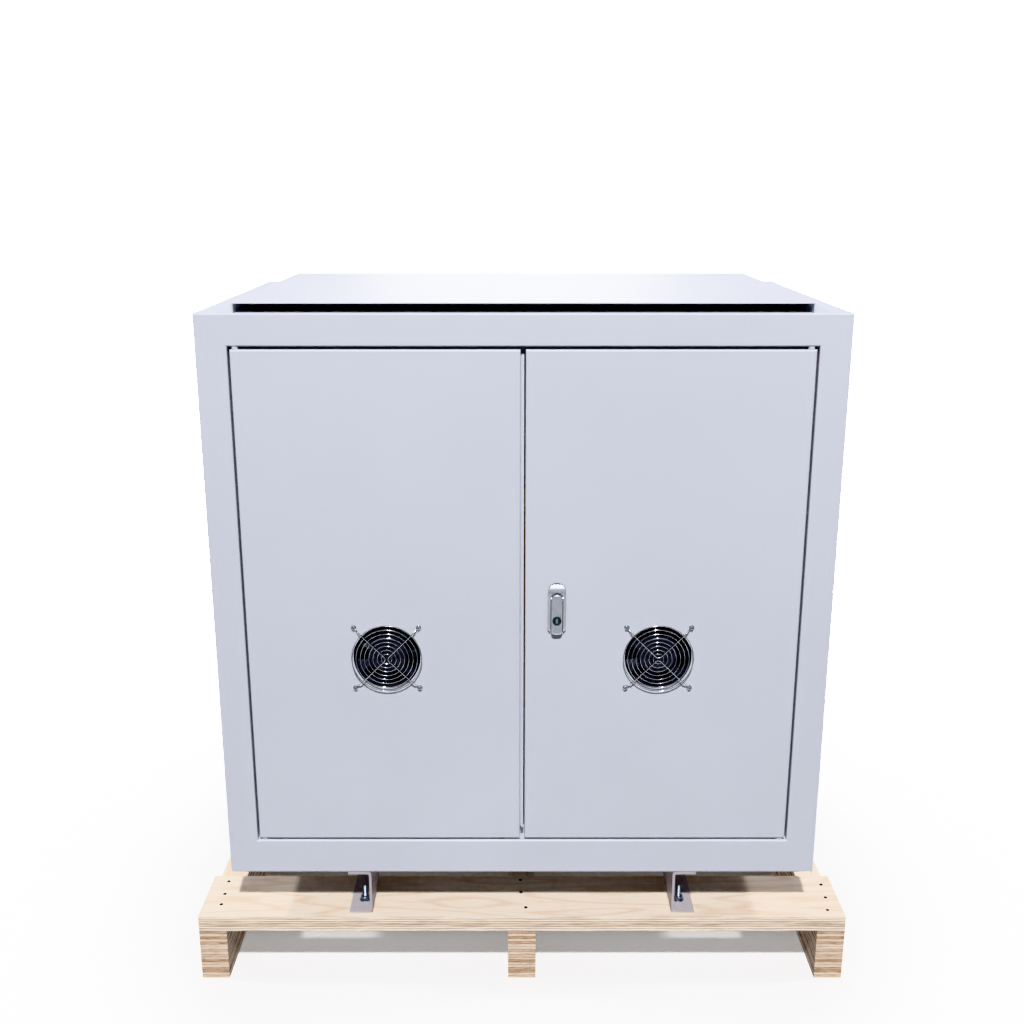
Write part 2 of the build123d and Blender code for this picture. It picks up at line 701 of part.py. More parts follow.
# Yoke clamps: channels pressed to the front and back of each yoke, drilled for the tie rods
lower_clamp_middle = core_base + limb_width / 2
upper_clamp_middle = core_base + core_height - limb_width / 2
clamp_face = core_stack / 2
tie_rod_y = clamp_face + clamp_wall + (clamp_flange - clamp_wall) / 2
tie_rod_places = [(across * limb_pitch / 2, core_y + along * tie_rod_y) for across in (-1, 1) for along in (-1, 1)]
for level_name, level in (("lower", lower_clamp_middle), ("upper", upper_clamp_middle)):
    for name, along in (("front", -1), ("rear", 1)):
        with BuildPart() as clamp:
            with BuildSketch(Plane.YZ):
                with Locations((core_y + along * (clamp_face + clamp_flange / 2), level)):
                    Rectangle(clamp_flange, clamp_height)
                with Locations((core_y + along * (clamp_face + clamp_wall + clamp_flange / 2), level)):
                    Rectangle(clamp_flange, clamp_height - 2 * clamp_wall, mode=Mode.SUBTRACT)
            extrude(amount=clamp_length / 2, both=True)
            with BuildSketch(Plane.XY.offset(level - clamp_height / 2)):
                with Locations(*tie_rod_places):
                    Circle(tie_rod_diameter / 2 + tie_rod_clearance)
            extrude(amount=clamp_height, mode=Mode.SUBTRACT)
        write(clamp, f"{level_name}_{name}_clamp")

# Tie rods between the clamps, each one piece with its nuts
rod_bottom = lower_clamp_middle - clamp_height / 2 - tie_nut_height
rod_top = upper_clamp_middle + clamp_height / 2 + tie_nut_height
with BuildPart() as tie_rods:
    with BuildSketch(Plane.XY.offset(rod_bottom)):
        with Locations(*tie_rod_places):
            Circle(tie_rod_diameter / 2)
    extrude(amount=rod_top - rod_bottom)
    with BuildSketch(Plane.XY.offset(rod_bottom), Plane.XY.offset(rod_top - tie_nut_height)):
        with Locations(*tie_rod_places):
            RegularPolygon(tie_nut_across_flats / 2, 6, major_radius=False)
    extrude(amount=tie_nut_height)
write(tie_rods, "tie_rods")

# Coil blocks fill the space between the coils' ends and the clamps
block_y = sleeve_depth / 2 + coil_block_depth / 2
lower_clamp_top = lower_clamp_middle + clamp_height / 2
upper_clamp_bottom = upper_clamp_middle - clamp_height / 2
with BuildPart() as coil_blocks:
    with BuildSketch(Plane.XY.offset(lower_clamp_top)):
        with Locations((0, core_y)):
            with GridLocations(limb_pitch, 2 * block_y, 3, 2):
                Rectangle(coil_block_width, coil_block_depth)
    extrude(amount=coil_bottom - lower_clamp_top)
    with BuildSketch(Plane.XY.offset(coil_bottom + coil_height)):
        with Locations((0, core_y)):
            with GridLocations(limb_pitch, 2 * block_y, 3, 2):
                Rectangle(coil_block_width, coil_block_depth)
    extrude(amount=upper_clamp_bottom - coil_bottom - coil_height)
write(coil_blocks, "coil_blocks")
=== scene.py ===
"""Dry power transformer in a fan-cooled steel enclosure, bolted to its pallet.

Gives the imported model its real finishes, adds the small fittings (guard wires, screws, nails, threaded
bolts) and sets up the studio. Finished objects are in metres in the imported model's own frame: +Z is up and
the doors face -Y. Sizes of the sub-assemblies are in millimetres, and the studio's in metres.
"""

import logging
import math
from dataclasses import dataclass, field
from enum import Enum

import bmesh
import bpy
from mathutils import Matrix, Vector


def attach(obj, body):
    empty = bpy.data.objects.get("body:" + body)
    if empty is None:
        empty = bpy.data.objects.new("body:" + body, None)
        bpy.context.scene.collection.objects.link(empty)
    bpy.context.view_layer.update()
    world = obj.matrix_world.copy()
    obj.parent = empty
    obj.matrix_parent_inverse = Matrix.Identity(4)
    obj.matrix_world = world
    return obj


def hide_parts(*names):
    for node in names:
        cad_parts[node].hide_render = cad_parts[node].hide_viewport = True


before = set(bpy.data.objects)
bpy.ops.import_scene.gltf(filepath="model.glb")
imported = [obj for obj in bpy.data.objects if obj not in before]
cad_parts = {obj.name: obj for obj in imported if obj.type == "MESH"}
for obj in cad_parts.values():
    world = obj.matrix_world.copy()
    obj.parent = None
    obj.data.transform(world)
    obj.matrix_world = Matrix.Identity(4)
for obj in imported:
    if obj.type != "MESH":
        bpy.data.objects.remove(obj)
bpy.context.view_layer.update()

LOG = logging.getLogger("power_transformer")
MM = 0.001

Point = tuple[float, float, float]
Inputs = dict[str | int, object]
Socket = bpy.types.NodeSocket
Loop = tuple[list[tuple[float, float]], float]

# Where the values of a noise mostly lie, as a Map Range node's lower and upper source limits
NOISE_SPAN: Inputs = {1: 0.3, 2: 0.7}


def linear(colour: str) -> tuple[float, float, float, float]:
    """Turns an sRGB hex colour into linear RGBA.

    Args:
        colour: six hex digits after a hash sign.

    Returns:
        Linear red, green, blue and an alpha of 1.
    """
    parts = [int(colour[i : i + 2], 16) / 255 for i in (1, 3, 5)]
    red, green, blue = (c / 12.92 if c <= 0.04045 else ((c + 0.055) / 1.055) ** 2.4 for c in parts)
    return red, green, blue, 1.0


def per_metre(size_mm: float) -> float:
    """Pattern repeats in a metre, for a repeat of so many millimetres."""
    return 1.0 / (size_mm * MM)


def add_node(
    tree: bpy.types.NodeTree, kind: str, inputs: Inputs | None = None, out: str | int = 0, **settings: object
) -> Socket | None:
    """Adds a node, sets its properties and fills or links its inputs.

    Args:
        tree: the node tree that gets the node.
        kind: the node's type name.
        inputs: values, or output sockets to link, by input name or number.
        out: name or number of the output that is wanted.
        settings: node properties by name.

    Returns:
        That output, or None where the node has no outputs.
    """
    made = tree.nodes.new(kind)
    for name, value in settings.items():
        setattr(made, name, value)
    for key, value in (inputs or {}).items():
        if isinstance(value, Socket):
            tree.links.new(value, made.inputs[key])
        else:
            made.inputs[key].default_value = value
    return made.outputs[out] if made.outputs else None


def linked(name: str, data: bpy.types.ID) -> bpy.types.Object:
    """Makes an object at the origin and links it to the scene.

    Args:
        name: the object's name.
        data: its mesh, light or camera.

    Returns:
        The new object.
    """
    made = bpy.data.objects.new(name, data)
    bpy.context.scene.collection.objects.link(made)
    return made


def round_point(radius: float, angle: float, height: float) -> Point:
    """A point round Z in metres, from a radius and a height in millimetres and an angle in radians."""
    return radius * MM * math.cos(angle), radius * MM * math.sin(angle), height * MM


class Across(Enum):
    """Axis of the part's frame that a grain, brushing or winding follows."""

    X = 0
    Y = 1
    Z = 2

    def stretched(self, along_mm: float, over_mm: float) -> Point:
        """Mapping scale for a pattern that is long on this axis and short on the others."""
        scale = [per_metre(over_mm)] * 3
        scale[self.value] = per_metre(along_mm)
        return scale[0], scale[1], scale[2]


@dataclass(frozen=True)
class Finish:
    """A surface finish, made once as a node material and shared by the pieces that have it.

    Attributes:
        name: material name, the real material's.
        colour: main colour.
        shade: second colour that the pattern drifts to.
    """

    name: str
    colour: str
    shade: str

    def paint(self, tree: bpy.types.NodeTree) -> Inputs:
        """Builds the pattern nodes.

        Args:
            tree: the material's node tree.

        Returns:
            Values and sockets for the surface shader's inputs.
        """
        raise NotImplementedError

    def drifted(self, tree: bpy.types.NodeTree, share: Socket) -> Socket:
        """Mixes the main colour with the shade.

        Args:
            tree: the material's node tree.
            share: how much of the shade shows.

        Returns:
            The mixed colour.
        """
        ends = {0: share, 6: linear(self.colour), 7: linear(self.shade)}
        return add_node(tree, "ShaderNodeMix", ends, out=2, data_type="RGBA")

    def material(self) -> bpy.types.Material:
        """The finish's material, made on first use."""
        made = bpy.data.materials.get(self.name)
        if made is None:
            made = bpy.data.materials.new(self.name)
            made.use_nodes = True
            made.node_tree.nodes.clear()
            shader = add_node(made.node_tree, "ShaderNodeBsdfPrincipled", self.paint(made.node_tree))
            add_node(made.node_tree, "ShaderNodeOutputMaterial", {"Surface": shader})
        return made

    def dress(self, *names: str) -> None:
        """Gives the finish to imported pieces.

        Args:
            names: the pieces' names.
        """
        for name in names:
            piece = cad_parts[name]
            if not piece.material_slots:
                piece.data.materials.append(self.material())
            for slot in piece.material_slots:
                slot.material = self.material()
            LOG.info("%s: %s", name, self.name)


@dataclass(frozen=True)
class PowderCoat(Finish):
    """Polyester powder baked on folded sheet: a soft even sheen, broken up by a fine orange peel.

    Attributes:
        peel_mm: size of the peel, about 1 mm in life and drawn coarser so that it shows.
        peel_depth_mm: height of the peel.
        drift_mm: size of the slow changes in film thickness that shift the tone.
        gloss: lowest and highest roughness.
    """

    peel_mm: float = 2.8
    peel_depth_mm: float = 0.05
    drift_mm: float = 310.0
    gloss: tuple[float, float] = (0.34, 0.46)

    def paint(self, tree: bpy.types.NodeTree) -> Inputs:
        """Builds the peel, the slow drift in tone and the sheen.

        Args:
            tree: the material's node tree.

        Returns:
            Values and sockets for the surface shader's inputs.
        """
        place = add_node(tree, "ShaderNodeTexCoord", out="Object")
        peel = add_node(
            tree,
            "ShaderNodeTexNoise",
            {"Vector": place, "Scale": per_metre(self.peel_mm), "Detail": 2.0, "Roughness": 0.5},
        )
        drift = add_node(
            tree, "ShaderNodeTexNoise", {"Vector": place, "Scale": per_metre(self.drift_mm), "Detail": 3.0}
        )
        spread = add_node(tree, "ShaderNodeMapRange", {0: drift, **NOISE_SPAN})
        speck = add_node(tree, "ShaderNodeMapRange", {0: peel, 1: 0.25, 2: 0.75, 3: 0.35, 4: 0.65})
        mixed = add_node(tree, "ShaderNodeMath", {0: spread, 1: speck}, operation="MULTIPLY")
        tone = self.drifted(tree, mixed)
        sheen = add_node(
            tree, "ShaderNodeMapRange", {0: drift, **NOISE_SPAN, 3: self.gloss[0], 4: self.gloss[1]}
        )
        relief = add_node(
            tree, "ShaderNodeBump", {"Height": peel, "Strength": 0.6, "Distance": self.peel_depth_mm * MM}
        )
        return {"Base Color": tone, "Roughness": sheen, "Normal": relief, "IOR": 1.5}


@dataclass(frozen=True)
class Plywood(Finish):
    """Pine plywood: rotary-cut face veneer with wide flame grain, and sawn edges that show every ply.

    Attributes:
        edge_pale: colour of the plies that lie with their grain along the edge.
        edge_brown: colour of the cross plies' end grain.
        glue: colour of the glue lines and dark splits.
        grain: axis that the face grain follows.
        base_mm: level of the lowest ply's underside.
        ply_mm: thickness of a ply.
        flame_mm: length and width of the flame figure.
        fibre_mm: length and width of the fibres.
        flame_rings: growth rings that the flame figure cuts.
        streak_mm: length of the dark streaks in the cross plies.
        streak_height_mm: height of those streaks.
        wobble_mm: size of the plies' waves.
        wobble_plies: height of the waves, in plies.
        relief_mm: depth of the fibres and the torn streaks.
        cross_share: share of the plies that are dark cross plies.
        glue_weight: how much of the glue's colour shows along a glue line.
        glue_from: where a glue line starts between a ply's middle and its edge, thin and broad.
    """

    edge_pale: str = "#EBD6BA"
    edge_brown: str = "#C39B74"
    glue: str = "#7C5638"
    grain: Across = Across.X
    base_mm: float = 0.0
    ply_mm: float = 3.6
    flame_mm: tuple[float, float] = (430.0, 62.0)
    fibre_mm: tuple[float, float] = (55.0, 2.2)
    flame_rings: float = 15.0
    streak_mm: float = 24.0
    streak_height_mm: float = 1.7
    wobble_mm: float = 60.0
    wobble_plies: float = 0.6
    relief_mm: float = 0.25
    cross_share: float = 0.6
    glue_weight: float = 0.85
    glue_from: tuple[float, float] = (0.47, 0.28)

    def veneer(self, tree: bpy.types.NodeTree, place: Socket) -> tuple[Socket, Socket]:
        """Draws the face: contour lines of a long soft noise give the flame, a fine noise the fibres.

        Args:
            tree: the material's node tree.
            place: the surface's coordinates.

        Returns:
            The face's colour, and its fibres.
        """
        flame_at = add_node(
            tree, "ShaderNodeMapping", {"Vector": place, "Scale": self.grain.stretched(*self.flame_mm)}
        )
        flame = add_node(
            tree, "ShaderNodeTexNoise", {"Vector": flame_at, "Scale": 1.0, "Detail": 1.6, "Roughness": 0.45}
        )
        rings = add_node(tree, "ShaderNodeMath", {0: flame, 1: self.flame_rings}, operation="MULTIPLY")
        wave = add_node(tree, "ShaderNodeMath", {0: rings, 1: 1.0}, operation="PINGPONG")
        late = add_node(
            tree, "ShaderNodeMapRange", {0: wave, 1: 0.45, 2: 1.0}, interpolation_type="SMOOTHSTEP"
        )
        fibre_at = add_node(
            tree, "ShaderNodeMapping", {"Vector": place, "Scale": self.grain.stretched(*self.fibre_mm)}
        )
        fibre = add_node(
            tree, "ShaderNodeTexNoise", {"Vector": fibre_at, "Scale": 1.0, "Detail": 3.0, "Roughness": 0.6}
        )
        flame_tone = add_node(tree, "ShaderNodeMath", {0: late, 1: fibre}, operation="MULTIPLY")
        pores = add_node(tree, "ShaderNodeMapRange", {0: fibre, 1: 0.5, 2: 0.72, 3: 0.0, 4: 0.5})
        worked = add_node(tree, "ShaderNodeMath", {0: flame_tone, 1: pores}, operation="MAXIMUM")
        return self.drifted(tree, worked), fibre

    def sawn_edge(self, tree: bpy.types.NodeTree, place: Socket) -> tuple[Socket, Socket]:
        """Draws the edge: wavy plies by level, each of its own darkness, with torn streaks and glue lines.

        Args:
            tree: the material's node tree.
            place: the surface's coordinates.

        Returns:
            The edge's colour, and where it is torn or glued.
        """
        level = add_node(tree, "ShaderNodeSeparateXYZ", {0: place}, out=2)
        wobble = add_node(
            tree, "ShaderNodeTexNoise", {"Vector": place, "Scale": per_metre(self.wobble_mm), "Detail": 3.0}
        )
        count = add_node(
            tree,
            "ShaderNodeMath",
            {0: level, 1: per_metre(self.ply_mm), 2: -self.base_mm / self.ply_mm - self.wobble_plies / 2},
            operation="MULTIPLY_ADD",
        )
        ply = add_node(
            tree, "ShaderNodeMath", {0: wobble, 1: self.wobble_plies, 2: count}, operation="MULTIPLY_ADD"
        )
        whole = add_node(tree, "ShaderNodeMath", {0: ply}, operation="FLOOR")
        fate = add_node(tree, "ShaderNodeTexWhiteNoise", {"W": whole}, noise_dimensions="1D")
        cross = add_node(
            tree,
            "ShaderNodeMapRange",
            {0: fate, 1: 1.0 - self.cross_share, 2: 1.0},
            interpolation_type="SMOOTHSTEP",
        )
        part = add_node(tree, "ShaderNodeMath", {0: ply}, operation="FRACT")
        middle = add_node(tree, "ShaderNodeMath", {0: part, 1: -0.5}, operation="ADD")
        outer = add_node(tree, "ShaderNodeMath", {0: middle}, operation="ABSOLUTE")
        streak_size = (self.streak_mm, self.streak_mm, self.streak_height_mm)
        streak_at = add_node(
            tree,
            "ShaderNodeMapping",
            {"Vector": place, "Scale": tuple(per_metre(size) for size in streak_size)},
        )
        streak = add_node(
            tree,
            "ShaderNodeTexNoise",
            {"Vector": streak_at, "Scale": 1.0, "Detail": 4.0, "Roughness": 0.65},
        )
        torn = add_node(
            tree, "ShaderNodeMapRange", {0: streak, 1: 0.44, 2: 0.64}, interpolation_type="SMOOTHSTEP"
        )
        sawn = add_node(
            tree,
            "ShaderNodeMix",
            {0: cross, 6: linear(self.edge_pale), 7: linear(self.edge_brown)},
            out=2,
            data_type="RGBA",
        )
        weight = add_node(tree, "ShaderNodeMapRange", {0: cross, 3: 0.3, 4: 0.62})
        dark = add_node(tree, "ShaderNodeMath", {0: torn, 1: weight}, operation="MULTIPLY")
        thin, broad = self.glue_from
        line_from = add_node(tree, "ShaderNodeMapRange", {0: streak, **NOISE_SPAN, 3: thin, 4: broad})
        line = add_node(
            tree, "ShaderNodeMapRange", {0: outer, 1: line_from, 2: 0.5, 3: 0.0, 4: self.glue_weight}
        )
        glued = add_node(tree, "ShaderNodeMath", {0: dark, 1: line}, operation="MAXIMUM")
        edge = add_node(
            tree, "ShaderNodeMix", {0: glued, 6: sawn, 7: linear(self.glue)}, out=2, data_type="RGBA"
        )
        return edge, glued

    def paint(self, tree: bpy.types.NodeTree) -> Inputs:
        """Builds the flame figure for flat faces and the plies for sawn edges, and picks by the normal.

        Args:
            tree: the material's node tree.

        Returns:
            Values and sockets for the surface shader's inputs.
        """
        place = add_node(tree, "ShaderNodeTexCoord", out="Object")
        normal = add_node(tree, "ShaderNodeTexCoord", out="Normal")
        veneer, fibre = self.veneer(tree, place)
        edge, glued = self.sawn_edge(tree, place)
        upward = add_node(tree, "ShaderNodeSeparateXYZ", {0: normal}, out=2)
        flat = add_node(tree, "ShaderNodeMath", {0: upward}, operation="ABSOLUTE")
        on_face = add_node(tree, "ShaderNodeMapRange", {0: flat, 1: 0.6, 2: 0.8})
        tone = add_node(tree, "ShaderNodeMix", {0: on_face, 6: edge, 7: veneer}, out=2, data_type="RGBA")
        depth = add_node(tree, "ShaderNodeMix", {0: on_face, 2: glued, 3: fibre}, data_type="FLOAT")
        relief = add_node(
            tree,
            "ShaderNodeBump",
            {"Height": depth, "Strength": 0.55, "Distance": self.relief_mm * MM},
            invert=True,
        )
        rough = add_node(tree, "ShaderNodeMapRange", {0: fibre, **NOISE_SPAN, 3: 0.58, 4: 0.76})
        return {"Base Color": tone, "Roughness": rough, "Normal": relief, "IOR": 1.5}


@dataclass(frozen=True)
class Metal(Finish):
    """Bare or plated metal: tone and gloss wander a little, and fine lines follow the way it was worked.

    Attributes:
        gloss: lowest and highest roughness.
        patch_mm: size of the patches in tone.
        lines: axis that brushing or drawing lines follow.
        line_mm: length and spacing of those lines, drawn coarser than in life so that they show.
        line_depth_mm: height of the lines.
        bare: how far the metal is bare, the rest being a silver lacquer.
        painted_shade: colour of a painted shade near the leaf's face, round a casting's base and in its
            recess, if any.
        painted_shade_mm: levels on Y where that painted shade starts, where it is full and where it ends.
    """

    gloss: tuple[float, float] = (0.2, 0.34)
    patch_mm: float = 9.0
    lines: Across = Across.Z
    line_mm: tuple[float, float] = (16.0, 0.7)
    line_depth_mm: float = 0.01
    bare: float = 1.0
    painted_shade: str | None = None
    painted_shade_mm: Point = (0.0, 0.0, 0.0)

    def paint(self, tree: bpy.types.NodeTree) -> Inputs:
        """Builds the patches, the painted shade, the lines and the gloss.

        Args:
            tree: the material's node tree.

        Returns:
            Values and sockets for the surface shader's inputs.
        """
        place = add_node(tree, "ShaderNodeTexCoord", out="Object")
        patch = add_node(
            tree, "ShaderNodeTexNoise", {"Vector": place, "Scale": per_metre(self.patch_mm), "Detail": 3.0}
        )
        spread = add_node(tree, "ShaderNodeMapRange", {0: patch, **NOISE_SPAN})
        tone = self.drifted(tree, spread)
        # Painted shade: darker within a few millimetres of the leaf's face, so the casting's base and its
        # recess look shaded
        if self.painted_shade:
            level = add_node(tree, "ShaderNodeSeparateXYZ", {0: place}, out=1)
            start, thick, end = (height * MM for height in self.painted_shade_mm)
            shade_ramp = add_node(tree, "ShaderNodeMapRange", {0: level, 1: start, 2: thick})
            within = add_node(tree, "ShaderNodeMath", {0: level, 1: end}, operation="LESS_THAN")
            shade_mask = add_node(tree, "ShaderNodeMath", {0: shade_ramp, 1: within}, operation="MULTIPLY")
            tone = add_node(
                tree, "ShaderNodeMix", {0: shade_mask, 6: tone, 7: linear(self.painted_shade)}, out=2, data_type="RGBA"
            )
        line_at = add_node(
            tree, "ShaderNodeMapping", {"Vector": place, "Scale": self.lines.stretched(*self.line_mm)}
        )
        line = add_node(tree, "ShaderNodeTexNoise", {"Vector": line_at, "Scale": 1.0, "Detail": 2.0})
        rough = add_node(
            tree, "ShaderNodeMapRange", {0: line, **NOISE_SPAN, 3: self.gloss[0], 4: self.gloss[1]}
        )
        relief = add_node(
            tree, "ShaderNodeBump", {"Height": line, "Strength": 0.5, "Distance": self.line_depth_mm * MM}
        )
        return {"Base Color": tone, "Metallic": self.bare, "Roughness": rough, "Normal": relief}


@dataclass(frozen=True)
class MouldedPlastic(Finish):
    """Moulding or pressed board: a low sheen over a fine grain, a little greyer where it is rubbed.

    Attributes:
        grain_mm: size of the moulded grain, drawn coarser than in life so that it shows.
        grain_depth_mm: height of the grain.
        rub_mm: size of the rubbed patches.
        gloss: lowest and highest roughness.
        index: refractive index, lower where dust dulls the surface.
    """

    grain_mm: float = 1.6
    grain_depth_mm: float = 0.04
    rub_mm: float = 22.0
    gloss: tuple[float, float] = (0.36, 0.52)
    index: float = 1.52

    def paint(self, tree: bpy.types.NodeTree) -> Inputs:
        """Builds the moulded grain and the rubbed patches.

        Args:
            tree: the material's node tree.

        Returns:
            Values and sockets for the surface shader's inputs.
        """
        place = add_node(tree, "ShaderNodeTexCoord", out="Object")
        grain = add_node(
            tree, "ShaderNodeTexNoise", {"Vector": place, "Scale": per_metre(self.grain_mm), "Detail": 3.0}
        )
        rub = add_node(
            tree, "ShaderNodeTexNoise", {"Vector": place, "Scale": per_metre(self.rub_mm), "Detail": 2.0}
        )
        spread = add_node(tree, "ShaderNodeMapRange", {0: rub, 1: 0.35, 2: 0.7})
        tone = self.drifted(tree, spread)
        rough = add_node(
            tree, "ShaderNodeMapRange", {0: grain, **NOISE_SPAN, 3: self.gloss[0], 4: self.gloss[1]}
        )
        relief = add_node(
            tree, "ShaderNodeBump", {"Height": grain, "Strength": 0.4, "Distance": self.grain_depth_mm * MM}
        )
        return {"Base Color": tone, "Roughness": rough, "Normal": relief, "IOR": self.index}


@dataclass(frozen=True)
class CoreSteel(Finish):
    """Stacked silicon steel under a thin varnish: edge on it shows its sheets, face on the mitred joints.

    Attributes:
        joint: colour of the joints and of the gaps between sheets.
        sheet_mm: sheet spacing, 0.3 mm in life and drawn as packets so that it shows.
        half_width_mm: half of the core's width.
        half_limb_mm: half of a limb's width.
        top_mm: level of the upper yoke's top.
        bottom_mm: level of the lower yoke's underside.
        joint_mm: half of a joint line's width.
        joint_depth_mm: depth of the joints and gaps.
        gap_share: share of a packet that is gap.
        cloud_mm: size of the clouds in the varnish.
    """

    joint: str = "#24262A"
    sheet_mm: float = 3.2
    half_width_mm: float = 305.0
    half_limb_mm: float = 55.0
    top_mm: float = 927.0
    bottom_mm: float = 287.0
    joint_mm: float = 1.6
    joint_depth_mm: float = 0.3
    gap_share: float = 0.22
    cloud_mm: float = 55.0

    def paint(self, tree: bpy.types.NodeTree) -> Inputs:
        """Builds the sheet edges and the mitres of the corners and the middle limb.

        Args:
            tree: the material's node tree.

        Returns:
            Values and sockets for the surface shader's inputs.
        """
        place = add_node(tree, "ShaderNodeTexCoord", out="Object")
        normal = add_node(tree, "ShaderNodeTexCoord", out="Normal")
        across, along, level = add_node(tree, "ShaderNodeSeparateXYZ", {0: place}).node.outputs
        mirrored = add_node(tree, "ShaderNodeMath", {0: across}, operation="ABSOLUTE")
        middle = (self.top_mm + self.bottom_mm) / 2 * MM
        half_height = (self.top_mm - self.bottom_mm) / 2 * MM
        rise = add_node(tree, "ShaderNodeMath", {0: level, 1: -middle}, operation="ADD")
        tall = add_node(tree, "ShaderNodeMath", {0: rise}, operation="ABSOLUTE")

        # A corner mitre runs where the distances from side and top are equal, the middle limb's is a V
        corner = add_node(tree, "ShaderNodeMath", {0: mirrored, 1: tall}, operation="SUBTRACT")
        mitre = add_node(
            tree,
            "ShaderNodeMath",
            {0: corner, 1: self.half_width_mm * MM - half_height, 2: self.joint_mm * MM},
            operation="COMPARE",
        )
        sum_up = add_node(tree, "ShaderNodeMath", {0: mirrored, 1: tall}, operation="ADD")
        vee = add_node(
            tree,
            "ShaderNodeMath",
            {0: sum_up, 1: half_height - self.half_limb_mm * MM, 2: self.joint_mm * MM},
            operation="COMPARE",
        )
        joints = add_node(tree, "ShaderNodeMath", {0: mitre, 1: vee}, operation="MAXIMUM")

        packet = add_node(
            tree, "ShaderNodeMath", {0: along, 1: per_metre(self.sheet_mm)}, operation="MULTIPLY"
        )
        step = add_node(tree, "ShaderNodeMath", {0: packet}, operation="FLOOR")
        shift = add_node(tree, "ShaderNodeTexWhiteNoise", {"W": step}, noise_dimensions="1D")
        part = add_node(tree, "ShaderNodeMath", {0: packet}, operation="FRACT")
        gap = add_node(tree, "ShaderNodeMath", {0: part, 1: self.gap_share}, operation="LESS_THAN")
        edge_dark = add_node(tree, "ShaderNodeMath", {0: shift, 1: 0.45}, operation="MULTIPLY")
        edge = add_node(tree, "ShaderNodeMath", {0: edge_dark, 1: gap}, operation="MAXIMUM")

        facing = add_node(tree, "ShaderNodeSeparateXYZ", {0: normal}, out=1)
        flat = add_node(tree, "ShaderNodeMath", {0: facing}, operation="ABSOLUTE")
        lines = add_node(tree, "ShaderNodeMix", {0: flat, 2: edge, 3: joints}, data_type="FLOAT")
        cloud = add_node(
            tree, "ShaderNodeTexNoise", {"Vector": place, "Scale": per_metre(self.cloud_mm), "Detail": 4.0}
        )
        spread = add_node(tree, "ShaderNodeMapRange", {0: cloud, **NOISE_SPAN})
        sheet = self.drifted(tree, spread)
        tone = add_node(
            tree, "ShaderNodeMix", {0: lines, 6: sheet, 7: linear(self.joint)}, out=2, data_type="RGBA"
        )
        rough = add_node(tree, "ShaderNodeMapRange", {0: cloud, **NOISE_SPAN, 3: 0.38, 4: 0.55})
        relief = add_node(
            tree,
            "ShaderNodeBump",
            {"Height": lines, "Strength": 0.6, "Distance": self.joint_depth_mm * MM},
            invert=True,
        )
        return {"Base Color": tone, "Metallic": 0.55, "Roughness": rough, "Normal": relief}


@dataclass(frozen=True)
class TapedCoil(Finish):
    """Glass tape wound round the coil and sealed with amber varnish: overlapped bands with a hard wet gloss.

    Attributes:
        lap: colour at a band's overlapped edge.
        tape_mm: pitch of the bands.
        lap_depth_mm: height of a band's edge.
        weave_mm: thread spacing of the tape, drawn coarser than in life so that it shows.
        wander_mm: size of the runs of varnish and of the bands' waves.
        wander_bands: height of the waves, in bands.
    """

    lap: str = "#4A2A14"
    tape_mm: float = 15.5
    lap_depth_mm: float = 0.5
    weave_mm: float = 2.4
    wander_mm: float = 90.0
    wander_bands: float = 0.35

    def paint(self, tree: bpy.types.NodeTree) -> Inputs:
        """Builds the bands, the weave and runs of varnish.

        Args:
            tree: the material's node tree.

        Returns:
            Values and sockets for the surface shader's inputs.
        """
        place = add_node(tree, "ShaderNodeTexCoord", out="Object")
        level = add_node(tree, "ShaderNodeSeparateXYZ", {0: place}, out=2)
        wander = add_node(
            tree, "ShaderNodeTexNoise", {"Vector": place, "Scale": per_metre(self.wander_mm), "Detail": 2.0}
        )
        turn = add_node(
            tree, "ShaderNodeMath", {0: level, 1: per_metre(self.tape_mm)}, operation="MULTIPLY"
        )
        wound = add_node(
            tree, "ShaderNodeMath", {0: wander, 1: self.wander_bands, 2: turn}, operation="MULTIPLY_ADD"
        )
        band = add_node(tree, "ShaderNodeMath", {0: wound}, operation="FRACT")
        weave = add_node(
            tree, "ShaderNodeTexNoise", {"Vector": place, "Scale": per_metre(self.weave_mm), "Detail": 1.0}
        )
        runs = add_node(tree, "ShaderNodeMapRange", {0: wander, **NOISE_SPAN})
        varnish = self.drifted(tree, runs)
        seam = add_node(
            tree,
            "ShaderNodeMapRange",
            {0: band, 1: 0.78, 2: 1.0, 3: 0.0, 4: 0.8},
            interpolation_type="SMOOTHSTEP",
        )
        tone = add_node(
            tree, "ShaderNodeMix", {0: seam, 6: varnish, 7: linear(self.lap)}, out=2, data_type="RGBA"
        )
        height = add_node(tree, "ShaderNodeMath", {0: weave, 1: 0.3, 2: band}, operation="MULTIPLY_ADD")
        relief = add_node(
            tree, "ShaderNodeBump", {"Height": height, "Strength": 0.55, "Distance": self.lap_depth_mm * MM}
        )
        rough = add_node(tree, "ShaderNodeMapRange", {0: weave, **NOISE_SPAN, 3: 0.26, 4: 0.42})
        return {
            "Base Color": tone,
            "Roughness": rough,
            "Normal": relief,
            "IOR": 1.54,
            "Coat Weight": 0.35,
            "Coat Roughness": 0.12,
        }


# Light grey powder coat on folded sheet: even and soft, with a faint peel under the lamps
CABINET_PAINT = PowderCoat("powder_coated_steel", "#CDD0DB", "#C4C7D2")
# The same coat on rolled channel, a little warmer and darker
FOOT_PAINT = PowderCoat("powder_coated_channel", "#B5AFB4", "#ABA5AA", drift_mm=90.0)
# Dark enamel on rolled steel: a deeper gloss, so that the flanges' edges catch the light
CLAMP_PAINT = PowderCoat("enamelled_clamp_steel", "#565B62", "#4A4F56", gloss=(0.3, 0.42))
# Zinc-coated sheet, dulled by handling: the coat's soft sheen in a colder grey
FLOOR_ZINC = PowderCoat("zinc_coated_floor_sheet", "#B4B8BE", "#A2A7AE", gloss=(0.3, 0.45))
